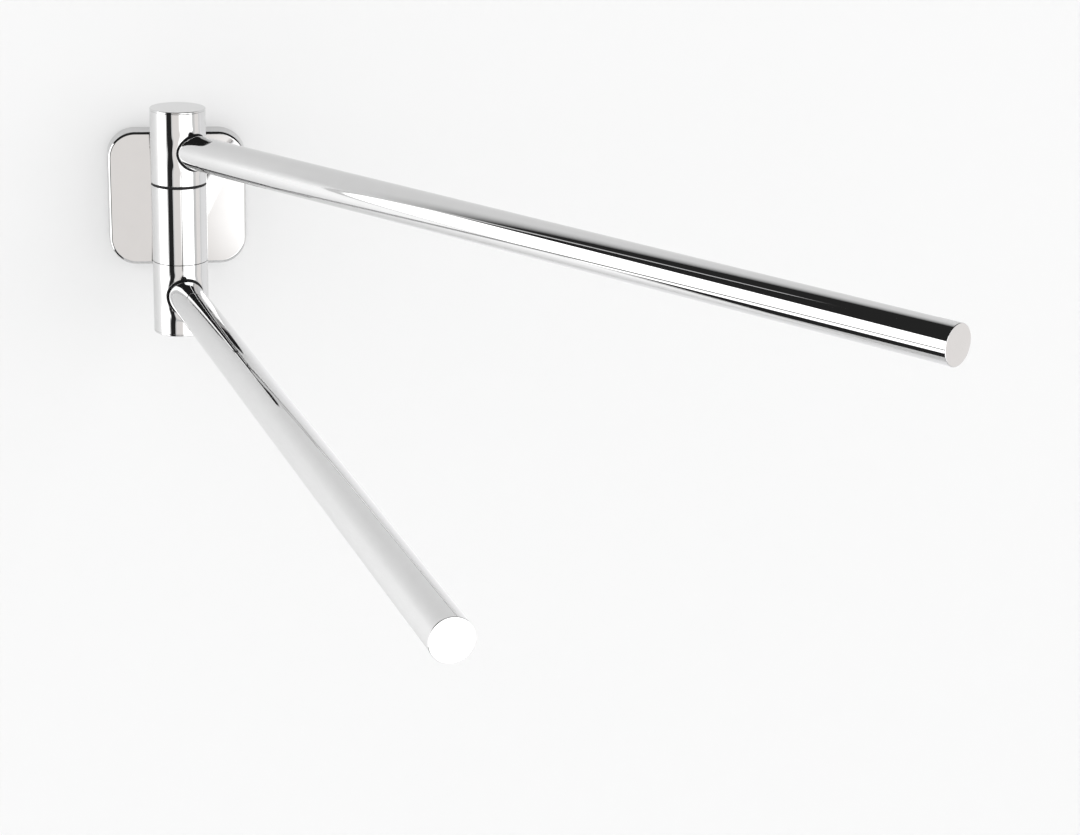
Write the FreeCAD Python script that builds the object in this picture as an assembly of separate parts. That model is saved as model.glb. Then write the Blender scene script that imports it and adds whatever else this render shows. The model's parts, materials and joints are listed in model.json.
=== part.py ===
import FreeCAD, Part
import math
import os

# Twin-arm swivel towel warmer, in millimetres.
# +X runs along the wall, +Y points into the wall, +Z is up. The wall is the plane y = 0.
# The origin is the middle of the wall bracket's back face.

V = FreeCAD.Vector
X = V(1, 0, 0)
Y = V(0, 1, 0)
Z = V(0, 0, 1)

# Overall layout
AXIS_TO_WALL = 66.5
ARM_REACH = 533.5
UPPER_AZIMUTH = 37.8
LOWER_AZIMUTH = 9.95
SWIVEL_EACH_WAY = 90.0

# Fits
RUNNING_CLEARANCE = 0.05
SLIDING_CLEARANCE = 0.05
LOOSE_CLEARANCE = 0.3
THREAD_CLEARANCE = 0.02

# Cover plate
COVER_FACE_HALF = 38.6
COVER_FACE_CORNER = 14.2
COVER_EDGE_RADIUS = 1.6
COVER_FLARE = 1.2
COVER_DEPTH = 11.5
COVER_FRONT_WALL = 2.0
COVER_SIDE_WALL = 2.2

# Wall bracket
BRACKET_THICKNESS = 3.0
BRACKET_GAP = 4.8
BRACKET_CORNER = 10.0
WALL_HOLE_EDGE = 7.2
WALL_HOLE_RADIUS = 2.75
TAB_WIDTH = 16.0
TAB_LENGTH = 5.2
TAB_THICKNESS = 2.5

# Cable entry
CABLE_RADIUS = 3.5
GROMMET_WALL = 2.0
GROMMET_LIP = 1.6
GROMMET_LIP_THICKNESS = 1.2

# Seals
GASKET_WIDTH = 2.6
GASKET_THICKNESS = 2.0
NECK_SEAL_WIDTH = 2.0
NECK_SEAL_THICKNESS = 1.0

# Neck
NECK_RADIUS = 12.0
NECK_WIRE_RADIUS = 5.5
NECK_CHAMBER_RADIUS = 8.0
NECK_CHAMBER_LENGTH = 28.0
NECK_FLANGE_MARGIN = 0.6
NECK_FLANGE_THICKNESS = 3.4
NECK_SPIGOT_RADIUS = 9.0
NECK_SPIGOT_GAP = 0.5
NECK_SCREW_COUNT = 4

# Small screws
SCREW_RADIUS = 2.0
SCREW_HEAD_RADIUS = 3.4
SCREW_HEAD_HEIGHT = 2.0
GRUB_SOCKET_RADIUS = 1.1
GRUB_SOCKET_DEPTH = 1.5
COVER_GRUB_RECESS = 0.8
CLAMP_SCREW_RADIUS = 3.0
CLAMP_SCREW_PROUD = 1.0
EARTH_SCREW_EDGE = 6.7
EARTH_WASHER_RADIUS = 4.2
EARTH_WASHER_THICKNESS = 0.8
EARTH_HEAD_HEIGHT = 1.8

# Supply connector
CONNECTOR_SIDE = 9.0
CONNECTOR_LENGTH = 18.0
CONNECTOR_STAND_OFF = 2.0
CONNECTOR_WAYS = 3
CONNECTOR_WAY_RADIUS = 1.0
CONNECTOR_WAY_DEPTH = 6.0

# Barrel
BARREL_RADIUS = 16.0
BARREL_WALL = 3.0
BARREL_EDGE = 0.3
MIDDLE_TOP = 21.6
MIDDLE_BOTTOM = -23.25
FLOOR_THICKNESS = 4.0
HEAD_ROOM = 13.95
CAP_LIP = 1.2
CAP_EDGE_RADIUS = 0.6
CAP_SKIRT = 4.0
CAP_SKIRT_WALL = 1.5

# Pivot
PIVOT_RADIUS = 8.0
PIVOT_BORE_RADIUS = 5.5
PIVOT_WINDOW_RADIUS = 4.6
BUSH_WALL = 1.5
BUSH_FLANGE_GAP = 1.5
BUSH_FLANGE_THICKNESS = 0.8
THRUST_WASHER_THICKNESS = 1.4
THRUST_WASHER_INSET = 0.4
LOWER_SEAM_GAP = 0.3
DISC_SPRING_HEIGHT = 1.2
DISC_SPRING_SHEET = 0.7
FLAT_WASHER_THICKNESS = 0.65
WASHER_GAP = 1.7
NUT_HEIGHT = 2.8
NUT_CORNER_GAP = 0.876
NUT_TO_ARM_GAP = 0.5
PIVOT_GRUB_RECESS = 2.0

# Swivel stops
STOP_PIN_RADIUS = 1.5
STOP_PIN_WALL = 1.15
STOP_PIN_SEAT = 5.0
STOP_PIN_PROUD = 2.0
STOP_SLOT_CLEARANCE = 0.1
STOP_SLOT_DEPTH = 2.6

# Arms
ARM_RADIUS = 10.0
ARM_WALL = 1.2
ARM_INNER_GAP = 0.3
ARM_HOLE_CLEARANCE = 0.8
ARM_HOLE_EDGE = 0.4
WIRE_HOLE_RADIUS = 3.5
COLLAR_RECESS = 0.7
TIP_PLUG_LIP = 1.5
TIP_PLUG_EDGE = 0.35
TIP_PLUG_SPIGOT = 10.0
TIP_PLUG_SPIGOT_WALL = 2.0

# Clamp blocks
BLOCK_BELOW_ARM_AXIS = 6.0
BLOCK_ABOVE_ARM = 5.0
CLAMP_SCREW_OFFSETS = (-4.5, 5.5)

# Heating
LEAD_RADIUS = 1.5
LEAD_BEND_RADIUS = 9.0
LEAD_SPACING = 3.4
LEAD_END = 30.0
FUSE_RADIUS = 3.0
FUSE_LENGTH = 16.0
HEATER_RADIUS = 4.5
HEATER_TERMINAL_RADIUS = 2.0
HEATER_TERMINAL_LENGTH = 10.0
HEATER_TIP_GAP = 22.0
SPACER_THICKNESS = 6.0
SPACER_END_MARGIN = 25.0
SPACER_COUNT = 3

# Derived sizes shared by more than one piece
FACE_Y = -COVER_DEPTH
COVER_SHOULDER_HALF = COVER_FACE_HALF + COVER_EDGE_RADIUS
COVER_BACK_HALF = COVER_SHOULDER_HALF + COVER_FLARE
COVER_CORNER_CENTRE = COVER_FACE_HALF - COVER_FACE_CORNER
POCKET_HALF = COVER_SHOULDER_HALF - COVER_SIDE_WALL
POCKET_FLOOR_Y = FACE_Y + COVER_FRONT_WALL
BRACKET_HALF = POCKET_HALF - BRACKET_GAP
WALL_HOLE_OFFSET = BRACKET_HALF - WALL_HOLE_EDGE
EARTH_SCREW_OFFSET = BRACKET_HALF - EARTH_SCREW_EDGE
NECK_BASE_Y = -BRACKET_THICKNESS
BARREL_BORE = BARREL_RADIUS - BARREL_WALL
BUSH_RADIUS = PIVOT_RADIUS + RUNNING_CLEARANCE + BUSH_WALL
BUSH_FLANGE_RADIUS = BARREL_BORE - BUSH_FLANGE_GAP
WASHER_RADIUS = BARREL_BORE - WASHER_GAP
NUT_CORNER_RADIUS = BARREL_BORE - NUT_CORNER_GAP
STOP_PIN_CIRCLE = BUSH_RADIUS + STOP_PIN_WALL + STOP_PIN_RADIUS
ARM_BORE = ARM_RADIUS - ARM_WALL
ARM_HOLE_RADIUS = ARM_RADIUS + ARM_HOLE_CLEARANCE
ARM_INNER_END = math.sqrt(BARREL_BORE ** 2 - ARM_RADIUS ** 2) - ARM_INNER_GAP
NECK_SCREW_CIRCLE = NECK_RADIUS + NECK_SEAL_WIDTH + LOOSE_CLEARANCE + SCREW_HEAD_RADIUS
NECK_FLANGE_RADIUS = NECK_SCREW_CIRCLE + SCREW_HEAD_RADIUS + NECK_FLANGE_MARGIN
UPPER_SEAT = MIDDLE_TOP + THRUST_WASHER_THICKNESS
LOWER_SEAT = -MIDDLE_BOTTOM + LOWER_SEAM_GAP


class Side:
    """Heights of one swivel stack, measured away from the middle of the barrel."""

    def __init__(self, name, azimuth, seat, middle_end, washer_height, mirrored):
        self.name = name
        self.azimuth = azimuth
        self.seat = seat
        self.middle_end = middle_end
        self.washer_height = washer_height
        self.mirrored = mirrored
        self.floor_top = seat + FLOOR_THICKNESS
        self.flange_top = self.floor_top + BUSH_FLANGE_THICKNESS
        self.nut_base = self.flange_top + washer_height
        self.pivot_end = self.nut_base + NUT_HEIGHT
        self.arm_height = self.pivot_end + NUT_TO_ARM_GAP + ARM_RADIUS
        self.end = self.arm_height + ARM_RADIUS + HEAD_ROOM
        self.cap_base = self.end - CAP_LIP
        self.pin_seat = middle_end - STOP_PIN_SEAT
        self.grub_height = (NECK_SPIGOT_RADIUS + self.pin_seat) / 2.0

    def place_fixed(self, shape):
        """Move a shape that stays with the wall to the barrel's axis."""
        if self.mirrored:
            shape = shape.mirror(V(0, 0, 0), Z)
        moved = shape.copy()
        moved.translate(V(0, -AXIS_TO_WALL, 0))
        return moved

    def place_turning(self, shape):
        """Move a shape built with the arm along +X to its arm's direction."""
        turned = shape.copy()
        turned.rotate(V(0, 0, 0), Z, self.azimuth - 90.0)
        return self.place_fixed(turned)


UPPER = Side("upper", UPPER_AZIMUTH, UPPER_SEAT, MIDDLE_TOP, DISC_SPRING_HEIGHT, False)
LOWER = Side("lower", LOWER_AZIMUTH, LOWER_SEAT, -MIDDLE_BOTTOM, FLAT_WASHER_THICKNESS, True)


def rod(radius, start, direction, length):
    """Solid round bar from start along direction."""
    return Part.makeCylinder(radius, length, start, direction)


def pipe(outer, inner, start, direction, length):
    """Round bar with a bore right through it."""
    bore = rod(inner, start - direction, direction, length + 2.0)
    return rod(outer, start, direction, length).cut(bore)


def ring(outer, inner, low, high):
    """Flat ring about the barrel's axis between two heights."""
    return pipe(outer, inner, V(0, 0, low), Z, high - low)


def rounded_square(half, corner, y):
    """Closed wire of a square with round corners, in the plane at y."""
    straight = half - corner
    diagonal = straight + corner * math.sqrt(0.5)
    edges = []
    for quarter in range(4):
        turn = FreeCAD.Rotation(Y, 90.0 * quarter)
        start = turn.multVec(V(-straight, 0, half))
        end = turn.multVec(V(straight, 0, half))
        middle = turn.multVec(V(diagonal, 0, diagonal))
        after = turn.multVec(V(half, 0, straight))
        lift = V(0, y, 0)
        edges.append(Part.makeLine(start + lift, end + lift))
        edges.append(Part.Arc(end + lift, middle + lift, after + lift).toShape())
    return Part.Wire(edges)


def rounded_plate(half, corner, back_y, thickness):
    """Flat square plate with round corners whose front faces the room."""
    face = Part.Face(rounded_square(half, corner, back_y))
    return face.extrude(V(0, -thickness, 0))


def grub_screw(radius, tip, direction, length):
    """Headless screw with a round-bottomed socket in its outer end."""
    socket_start = tip + direction * (length - GRUB_SOCKET_DEPTH)
    socket = rod(GRUB_SOCKET_RADIUS, socket_start, direction, GRUB_SOCKET_DEPTH + 1.0)
    return rod(radius, tip, direction, length).cut(socket)


def bracket_tab(sign):
    """Bent tab at the bracket's top or bottom edge."""
    low = BRACKET_HALF - TAB_THICKNESS
    box = Part.makeBox(TAB_WIDTH, TAB_LENGTH, TAB_THICKNESS)
    box.translate(V(-TAB_WIDTH / 2.0, NECK_BASE_Y - TAB_LENGTH, low))
    if sign < 0:
        box.rotate(V(0, 0, 0), Y, 180.0)
    return box


def wall_bracket():
    """Pressed steel plate with wall screw holes, cable hole and two tabs."""
    plate = rounded_plate(BRACKET_HALF, BRACKET_CORNER, 0.0, BRACKET_THICKNESS)
    plate = plate.fuse([bracket_tab(1), bracket_tab(-1)]).removeSplitter()
    back = V(0, 1.0, 0)
    depth = BRACKET_THICKNESS + 2.0
    holes = [rod(CABLE_RADIUS + GROMMET_WALL, back, -Y, depth)]
    for x in (-WALL_HOLE_OFFSET, WALL_HOLE_OFFSET):
        for z in (-WALL_HOLE_OFFSET, WALL_HOLE_OFFSET):
            holes.append(rod(WALL_HOLE_RADIUS, back + V(x, 0, z), -Y, depth))
    for spot in neck_screw_spots():
        holes.append(rod(SCREW_RADIUS + THREAD_CLEARANCE, back + spot, -Y, depth))
    holes.append(rod(SCREW_RADIUS + THREAD_CLEARANCE, back - X * EARTH_SCREW_OFFSET, -Y, depth))
    return plate.cut(holes)


def neck_screw_spots():
    """Places of the neck's flange screws round its axis."""
    spots = []
    for index in range(NECK_SCREW_COUNT):
        angle = 2.0 * math.pi * index / NECK_SCREW_COUNT
        spots.append(V(math.cos(angle), 0, math.sin(angle)) * NECK_SCREW_CIRCLE)
    return spots


def cover_plate():
    """Chromed rounded square cover with a soft front edge and flared sides."""
    shoulder_corner = COVER_SHOULDER_HALF - COVER_CORNER_CENTRE
    back_corner = COVER_BACK_HALF - COVER_CORNER_CENTRE
    back = rounded_square(COVER_BACK_HALF, back_corner, 0.0)
    front = rounded_square(COVER_SHOULDER_HALF, shoulder_corner, FACE_Y)
    body = Part.makeLoft([back, front], True, True)
    front_edges = [edge for edge in body.Edges if abs(edge.BoundBox.YMax - FACE_Y) < 1e-4]
    body = body.makeFillet(COVER_EDGE_RADIUS, front_edges)
    pocket_corner = POCKET_HALF - COVER_CORNER_CENTRE
    pocket_depth = COVER_DEPTH - COVER_FRONT_WALL
    pocket = rounded_plate(POCKET_HALF, pocket_corner, 1.0, pocket_depth + 1.0)
    neck_hole = rod(NECK_RADIUS + LOOSE_CLEARANCE, V(0, 1.0, 0), -Y, COVER_DEPTH + 2.0)
    grub_hole = rod(SCREW_RADIUS + THREAD_CLEARANCE, cover_grub_tip(), -Z, COVER_BACK_HALF)
    return body.cut([pocket, neck_hole, grub_hole])


def cover_grub_tip():
    """Point on the lower tab that the cover's grub screw presses."""
    return V(0, NECK_BASE_Y - TAB_LENGTH / 2.0, -BRACKET_HALF)


def cover_grub_screw():
    """Grub screw that holds the cover, hidden in its underside."""
    length = COVER_SHOULDER_HALF - COVER_GRUB_RECESS - BRACKET_HALF
    return grub_screw(SCREW_RADIUS, cover_grub_tip(), -Z, length)


def cover_gasket():
    """Foam band inside the cover's rim, against the wall."""
    corner = POCKET_HALF - COVER_CORNER_CENTRE
    outer = rounded_plate(POCKET_HALF, corner, 0.0, GASKET_THICKNESS)
    inner_half = POCKET_HALF - GASKET_WIDTH
    inner = rounded_plate(inner_half, corner - GASKET_WIDTH, 1.0, GASKET_THICKNESS + 2.0)
    return outer.cut(inner)


def neck_seal():
    """Rubber ring that closes the gap between cover and neck from inside."""
    start = V(0, POCKET_FLOOR_Y, 0)
    return pipe(NECK_RADIUS + NECK_SEAL_WIDTH, NECK_RADIUS, start, Y, NECK_SEAL_THICKNESS)


def neck_tube():
    """Turned neck from the bracket to the barrel, with a flange and a spigot."""
    base = V(0, NECK_BASE_Y, 0)
    spigot_end = AXIS_TO_WALL - PIVOT_RADIUS - NECK_SPIGOT_GAP
    flange = rod(NECK_FLANGE_RADIUS, base, -Y, NECK_FLANGE_THICKNESS)
    stem = rod(NECK_RADIUS, base, -Y, AXIS_TO_WALL - BRACKET_THICKNESS)
    barrel = rod(BARREL_RADIUS, V(0, -AXIS_TO_WALL, -BARREL_RADIUS), Z, 2.0 * BARREL_RADIUS)
    stem = stem.cut(barrel)
    spigot = rod(NECK_SPIGOT_RADIUS, base, -Y, spigot_end - BRACKET_THICKNESS)
    body = flange.fuse([stem, spigot]).removeSplitter()
    cuts = [rod(NECK_WIRE_RADIUS, base + Y, -Y, AXIS_TO_WALL)]
    cuts.append(rod(NECK_CHAMBER_RADIUS, base + Y, -Y, NECK_CHAMBER_LENGTH + 1.0))
    for spot in neck_screw_spots():
        cuts.append(rod(SCREW_RADIUS + SLIDING_CLEARANCE, base + spot + Y, -Y, COVER_DEPTH))
    return body.cut(cuts)


def neck_screws():
    """Pan-head screws through the flange into the bracket."""
    screws = []
    for spot in neck_screw_spots():
        under_head = spot + V(0, NECK_BASE_Y - NECK_FLANGE_THICKNESS, 0)
        shank = rod(SCREW_RADIUS, under_head, Y, NECK_FLANGE_THICKNESS + BRACKET_THICKNESS)
        head = rod(SCREW_HEAD_RADIUS, under_head, -Y, SCREW_HEAD_HEIGHT)
        socket_start = under_head - Y * (SCREW_HEAD_HEIGHT - GRUB_SOCKET_DEPTH)
        socket = rod(GRUB_SOCKET_RADIUS, socket_start, -Y, SCREW_HEAD_HEIGHT)
        screws.append(shank.fuse(head).cut(socket))
    return Part.makeCompound(screws)


def cable_grommet():
    """Rubber grommet in the bracket's cable hole, with a lip in front."""
    hole_radius = CABLE_RADIUS + GROMMET_WALL
    sleeve = rod(hole_radius, V(0, 0, 0), -Y, BRACKET_THICKNESS)
    lip_start = V(0, NECK_BASE_Y, 0)
    lip = rod(hole_radius + GROMMET_LIP, lip_start, -Y, GROMMET_LIP_THICKNESS)
    bore = rod(CABLE_RADIUS, Y, -Y, BRACKET_THICKNESS + GROMMET_LIP_THICKNESS + 2.0)
    return sleeve.fuse(lip).cut(bore)


def connector_back_y():
    """Face of the supply connector that looks at the wall."""
    return NECK_BASE_Y - NECK_CHAMBER_LENGTH + CONNECTOR_STAND_OFF + CONNECTOR_LENGTH


def supply_connector():
    """Three-way connector block in the neck's chamber."""
    half = CONNECTOR_SIDE / 2.0
    back_y = connector_back_y()
    block = Part.makeBox(CONNECTOR_SIDE, CONNECTOR_LENGTH, CONNECTOR_SIDE)
    block.translate(V(-half, back_y - CONNECTOR_LENGTH, -half))
    pitch = CONNECTOR_SIDE / CONNECTOR_WAYS
    ways = []
    for index in range(CONNECTOR_WAYS):
        x = (index - (CONNECTOR_WAYS - 1) / 2.0) * pitch
        mouth = V(x, back_y + 1.0, 0)
        ways.append(rod(CONNECTOR_WAY_RADIUS, mouth, -Y, CONNECTOR_WAY_DEPTH + 1.0))
    return block.cut(ways)


def earth_washer():
    """Cup washer that grips the earth wire on the bracket."""
    start = V(-EARTH_SCREW_OFFSET, NECK_BASE_Y, 0)
    return pipe(EARTH_WASHER_RADIUS, SCREW_RADIUS + SLIDING_CLEARANCE, start, -Y, EARTH_WASHER_THICKNESS)


def earth_screw():
    """Brass earth screw in the bracket."""
    under_head = V(-EARTH_SCREW_OFFSET, NECK_BASE_Y - EARTH_WASHER_THICKNESS, 0)
    shank = rod(SCREW_RADIUS, under_head, Y, EARTH_WASHER_THICKNESS + BRACKET_THICKNESS)
    head = rod(SCREW_HEAD_RADIUS, under_head, -Y, EARTH_HEAD_HEIGHT)
    return shank.fuse(head)


def bevelled_rod(radius, low, high, edge):
    """Upright bar with both rims bevelled."""
    bar = rod(radius, V(0, 0, low), Z, high - low)
    rims = [rim for rim in bar.Edges if rim.BoundBox.ZLength < 1e-6]
    return bar.makeChamfer(edge, rims)


def middle_barrel():
    """Fixed middle segment, bored for the pivot and the neck's spigot."""
    body = bevelled_rod(BARREL_RADIUS, MIDDLE_BOTTOM, MIDDLE_TOP, BARREL_EDGE)
    length = MIDDLE_TOP - MIDDLE_BOTTOM
    cuts = [rod(PIVOT_RADIUS, V(0, 0, MIDDLE_BOTTOM - 1.0), Z, length + 2.0)]
    cuts.append(rod(NECK_SPIGOT_RADIUS, V(0, 0, 0), Y, BARREL_RADIUS + 1.0))
    for side in (UPPER, LOWER):
        sign = -1.0 if side.mirrored else 1.0
        hole_radius = SCREW_RADIUS + THREAD_CLEARANCE
        cuts.append(rod(hole_radius, V(0, 0, sign * side.grub_height), Y, BARREL_RADIUS + 1.0))
        seat = V(0, STOP_PIN_CIRCLE, sign * side.pin_seat)
        cuts.append(rod(STOP_PIN_RADIUS, seat, Z * sign, STOP_PIN_SEAT + 1.0))
    return UPPER.place_fixed(body.cut(cuts))


def pivot_tube():
    """Hollow pivot that carries both swivels, with a window for the leads."""
    start = V(0, 0, -LOWER.pivot_end)
    length = UPPER.pivot_end + LOWER.pivot_end
    tube = pipe(PIVOT_RADIUS, PIVOT_BORE_RADIUS, start, Z, length)
    window = rod(PIVOT_WINDOW_RADIUS, V(0, 0, 0), Y, PIVOT_RADIUS + 1.0)
    return UPPER.place_fixed(tube.cut(window))


def pivot_grub_screws():
    """Two grub screws at the back that lock the pivot in the middle segment."""
    length = BARREL_RADIUS - PIVOT_GRUB_RECESS - PIVOT_RADIUS
    screws = []
    for height in (-LOWER.grub_height, UPPER.grub_height):
        screws.append(grub_screw(SCREW_RADIUS, V(0, PIVOT_RADIUS, height), Y, length))
    return UPPER.place_fixed(Part.makeCompound(screws))


def thrust_washer():
    """Dark slide ring between the middle and upper segments."""
    outer = BARREL_RADIUS - THRUST_WASHER_INSET
    washer = ring(outer, PIVOT_RADIUS + RUNNING_CLEARANCE, MIDDLE_TOP, UPPER_SEAT)
    pin_radius = STOP_PIN_RADIUS + SLIDING_CLEARANCE
    pin_hole = rod(pin_radius, V(0, STOP_PIN_CIRCLE, MIDDLE_TOP - 1.0), Z, THRUST_WASHER_THICKNESS + 2.0)
    return UPPER.place_fixed(washer.cut(pin_hole))


def stop_pin(side):
    """Dowel pin in the middle segment that runs in the turning segment's slot."""
    length = side.seat + STOP_PIN_PROUD - side.pin_seat
    return side.place_fixed(rod(STOP_PIN_RADIUS, V(0, STOP_PIN_CIRCLE, side.pin_seat), Z, length))


def disc_spring(side):
    """Coned spring washer that gives the upper swivel its friction."""
    inner = PIVOT_RADIUS + RUNNING_CLEARANCE
    rise = DISC_SPRING_HEIGHT - DISC_SPRING_SHEET
    low = side.flange_top
    points = [V(inner, 0, low + rise), V(WASHER_RADIUS, 0, low)]
    points.append(V(WASHER_RADIUS, 0, low + DISC_SPRING_SHEET))
    points.append(V(inner, 0, low + rise + DISC_SPRING_SHEET))
    section = Part.Face(Part.makePolygon(points + [points[0]]))
    return side.place_fixed(section.revolve(V(0, 0, 0), Z, 360))


def flat_washer(side):
    """Flat washer that the lower arm hangs on."""
    inner = PIVOT_RADIUS + RUNNING_CLEARANCE
    return side.place_fixed(ring(WASHER_RADIUS, inner, side.flange_top, side.nut_base))


def pivot_nut(side):
    """Thin hexagon nut on the pivot's threaded end."""
    points = []
    for index in range(7):
        angle = index * math.pi / 3.0
        points.append(V(math.cos(angle), math.sin(angle), 0) * NUT_CORNER_RADIUS + Z * side.nut_base)
    nut = Part.Face(Part.makePolygon(points)).extrude(Z * NUT_HEIGHT)
    bore = rod(PIVOT_RADIUS, V(0, 0, side.nut_base - 1.0), Z, NUT_HEIGHT + 2.0)
    return side.place_fixed(nut.cut(bore))


def lead_path(points, bend):
    """Wire of two straight runs joined by one tangent quarter bend."""
    start, corner, end = points
    first = (corner - start).normalize()
    second = (end - corner).normalize()
    before = corner - first * bend
    after = corner + second * bend
    centre = before + second * bend
    middle = centre - (second - first) * (bend * math.sqrt(0.5))
    arc = Part.Arc(before, middle, after).toShape()
    return Part.Wire([Part.makeLine(start, before), arc, Part.makeLine(after, end)])


def lead(points, bend):
    """Round insulated lead along a bent path."""
    path = lead_path(points, bend)
    tangent = (points[1] - points[0]).normalize()
    circle = Part.Wire(Part.makeCircle(LEAD_RADIUS, points[0], tangent))
    return path.makePipeShell([circle], True, False)


def supply_lead(side):
    """Lead from the connector into the pivot and along its axis to one end."""
    connector_front = AXIS_TO_WALL + connector_back_y() - CONNECTOR_LENGTH
    height = LEAD_SPACING / 2.0
    points = [V(0, connector_front, height), V(0, 0, height), V(0, 0, side.pivot_end)]
    return side.place_fixed(lead(points, LEAD_BEND_RADIUS))


def stop_slot(side):
    """Half-round slot for the stop pin, opposite the arm."""
    radius = STOP_PIN_RADIUS + STOP_SLOT_CLEARANCE
    low = side.seat - 1.0
    height = STOP_SLOT_DEPTH + 1.0
    band = ring(STOP_PIN_CIRCLE + radius, STOP_PIN_CIRCLE - radius, low, low + height)
    start_angle = 180.0 - SWIVEL_EACH_WAY
    sector = Part.makeCylinder(BARREL_RADIUS, height, V(0, 0, low), Z, 2.0 * SWIVEL_EACH_WAY)
    sector.rotate(V(0, 0, 0), Z, start_angle)
    slot = band.common(sector)
    for angle in (start_angle, start_angle + 2.0 * SWIVEL_EACH_WAY):
        turn = math.radians(angle)
        centre = V(math.cos(turn), math.sin(turn), 0) * STOP_PIN_CIRCLE + V(0, 0, low)
        slot = slot.fuse(rod(radius, centre, Z, height))
    return slot.removeSplitter()


def barrel(side):
    """Turning segment: a cup with a floor round the pivot and a hole for the arm."""
    body = bevelled_rod(BARREL_RADIUS, side.seat, side.cap_base, BARREL_EDGE)
    room = side.cap_base - side.floor_top
    cuts = [rod(BARREL_BORE, V(0, 0, side.floor_top), Z, room + 1.0)]
    cuts.append(rod(BUSH_RADIUS, V(0, 0, side.seat - 1.0), Z, FLOOR_THICKNESS + 2.0))
    cuts.append(stop_slot(side))
    hollow = body.cut(cuts)
    hole = rod(ARM_HOLE_RADIUS, V(0, 0, side.arm_height), X, BARREL_RADIUS + 1.0)
    drilled = hollow.cut(hole)
    return side.place_turning(soften_arm_hole(drilled, side))


def soften_arm_hole(body, side):
    """Break the outer edge of the arm hole."""
    edges = []
    for edge in body.Edges:
        box = edge.BoundBox
        at_height = abs(box.Center.z - side.arm_height) < 0.01
        wide = box.ZLength > 2.0 * ARM_HOLE_RADIUS - 0.1
        outside = box.XMax > BARREL_RADIUS - 0.01
        if at_height and wide and outside:
            edges.append(edge)
    return body.makeFillet(ARM_HOLE_EDGE, edges)


def cap(side):
    """Flat end cap with a soft rim and a skirt pressed into the segment."""
    disc = rod(BARREL_RADIUS, V(0, 0, side.cap_base), Z, CAP_LIP)
    rims = [rim for rim in disc.Edges if abs(rim.BoundBox.ZMin - side.end) < 1e-4]
    disc = disc.makeFillet(CAP_EDGE_RADIUS, rims)
    skirt_outer = BARREL_BORE - THREAD_CLEARANCE
    skirt = ring(skirt_outer, skirt_outer - CAP_SKIRT_WALL, side.cap_base - CAP_SKIRT, side.cap_base)
    return side.place_turning(disc.fuse(skirt))


def bush(side):
    """Flanged polymer bush between the segment's floor and the pivot."""
    bore = PIVOT_RADIUS + RUNNING_CLEARANCE
    sleeve = ring(BUSH_RADIUS, bore, side.seat, side.flange_top)
    flange = ring(BUSH_FLANGE_RADIUS, bore, side.floor_top, side.flange_top)
    return side.place_turning(sleeve.fuse(flange).removeSplitter())


def clamp_block(side):
    """Brass block in the segment that clamps the arm's inner end."""
    low = side.arm_height - BLOCK_BELOW_ARM_AXIS
    high = side.arm_height + ARM_RADIUS + BLOCK_ABOVE_ARM
    block = rod(BARREL_BORE - SLIDING_CLEARANCE, V(0, 0, low), Z, high - low)
    start = V(-ARM_INNER_END, 0, side.arm_height)
    cuts = [rod(ARM_RADIUS, start, X, ARM_INNER_END + BARREL_RADIUS)]
    for offset in CLAMP_SCREW_OFFSETS:
        bottom = V(offset, 0, side.arm_height)
        hole_length = high - side.arm_height + 1.0
        cuts.append(rod(CLAMP_SCREW_RADIUS + THREAD_CLEARANCE, bottom, Z, hole_length))
    return side.place_turning(block.cut(cuts))


def clamp_screws(side):
    """Two grub screws that press on the arm tube from above."""
    screws = []
    for offset in CLAMP_SCREW_OFFSETS:
        tip = V(offset, 0, side.arm_height + ARM_RADIUS)
        length = BLOCK_ABOVE_ARM + CLAMP_SCREW_PROUD
        screws.append(grub_screw(CLAMP_SCREW_RADIUS, tip, Z, length))
    return side.place_turning(Part.makeCompound(screws))


def arm_collar(side):
    """Dark ring that fills the gap between the arm and its hole."""
    start = V(0, 0, side.arm_height)
    sleeve = pipe(ARM_HOLE_RADIUS, ARM_RADIUS, start, X, BARREL_RADIUS)
    span = 2.0 * ARM_HOLE_RADIUS + 2.0
    low = side.arm_height - span / 2.0
    shell = ring(BARREL_RADIUS - COLLAR_RECESS, BARREL_BORE, low, low + span)
    return side.place_turning(sleeve.common(shell))


def arm_tube(side):
    """Straight chromed tube with a wire hole near its inner end."""
    length = ARM_INNER_END + ARM_REACH - TIP_PLUG_LIP
    start = V(-ARM_INNER_END, 0, side.arm_height)
    tube = pipe(ARM_RADIUS, ARM_BORE, start, X, length)
    wire_hole = rod(WIRE_HOLE_RADIUS, V(0, 0, side.arm_height), -Z, ARM_RADIUS + 1.0)
    return side.place_turning(tube.cut(wire_hole))


def tip_plug(side):
    """Flat plug that closes the arm's tip."""
    lip_start = V(ARM_REACH - TIP_PLUG_LIP, 0, side.arm_height)
    lip = rod(ARM_RADIUS, lip_start, X, TIP_PLUG_LIP)
    rims = [rim for rim in lip.Edges if abs(rim.BoundBox.XMin - ARM_REACH) < 1e-4]
    lip = lip.makeFillet(TIP_PLUG_EDGE, rims)
    outer = ARM_BORE - THREAD_CLEARANCE
    spigot = pipe(outer, outer - TIP_PLUG_SPIGOT_WALL, lip_start, -X, TIP_PLUG_SPIGOT)
    return side.place_turning(lip.fuse(spigot))


def arm_lead(side):
    """Lead from the pivot's end up into the arm tube."""
    points = [V(0, 0, side.pivot_end), V(0, 0, side.arm_height), V(LEAD_END, 0, side.arm_height)]
    return side.place_turning(lead(points, LEAD_BEND_RADIUS))


def thermal_fuse(side):
    """Thermal cut-out in line between the lead and the heater."""
    start = V(LEAD_END, 0, side.arm_height)
    return side.place_turning(rod(FUSE_RADIUS, start, X, FUSE_LENGTH))


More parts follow.
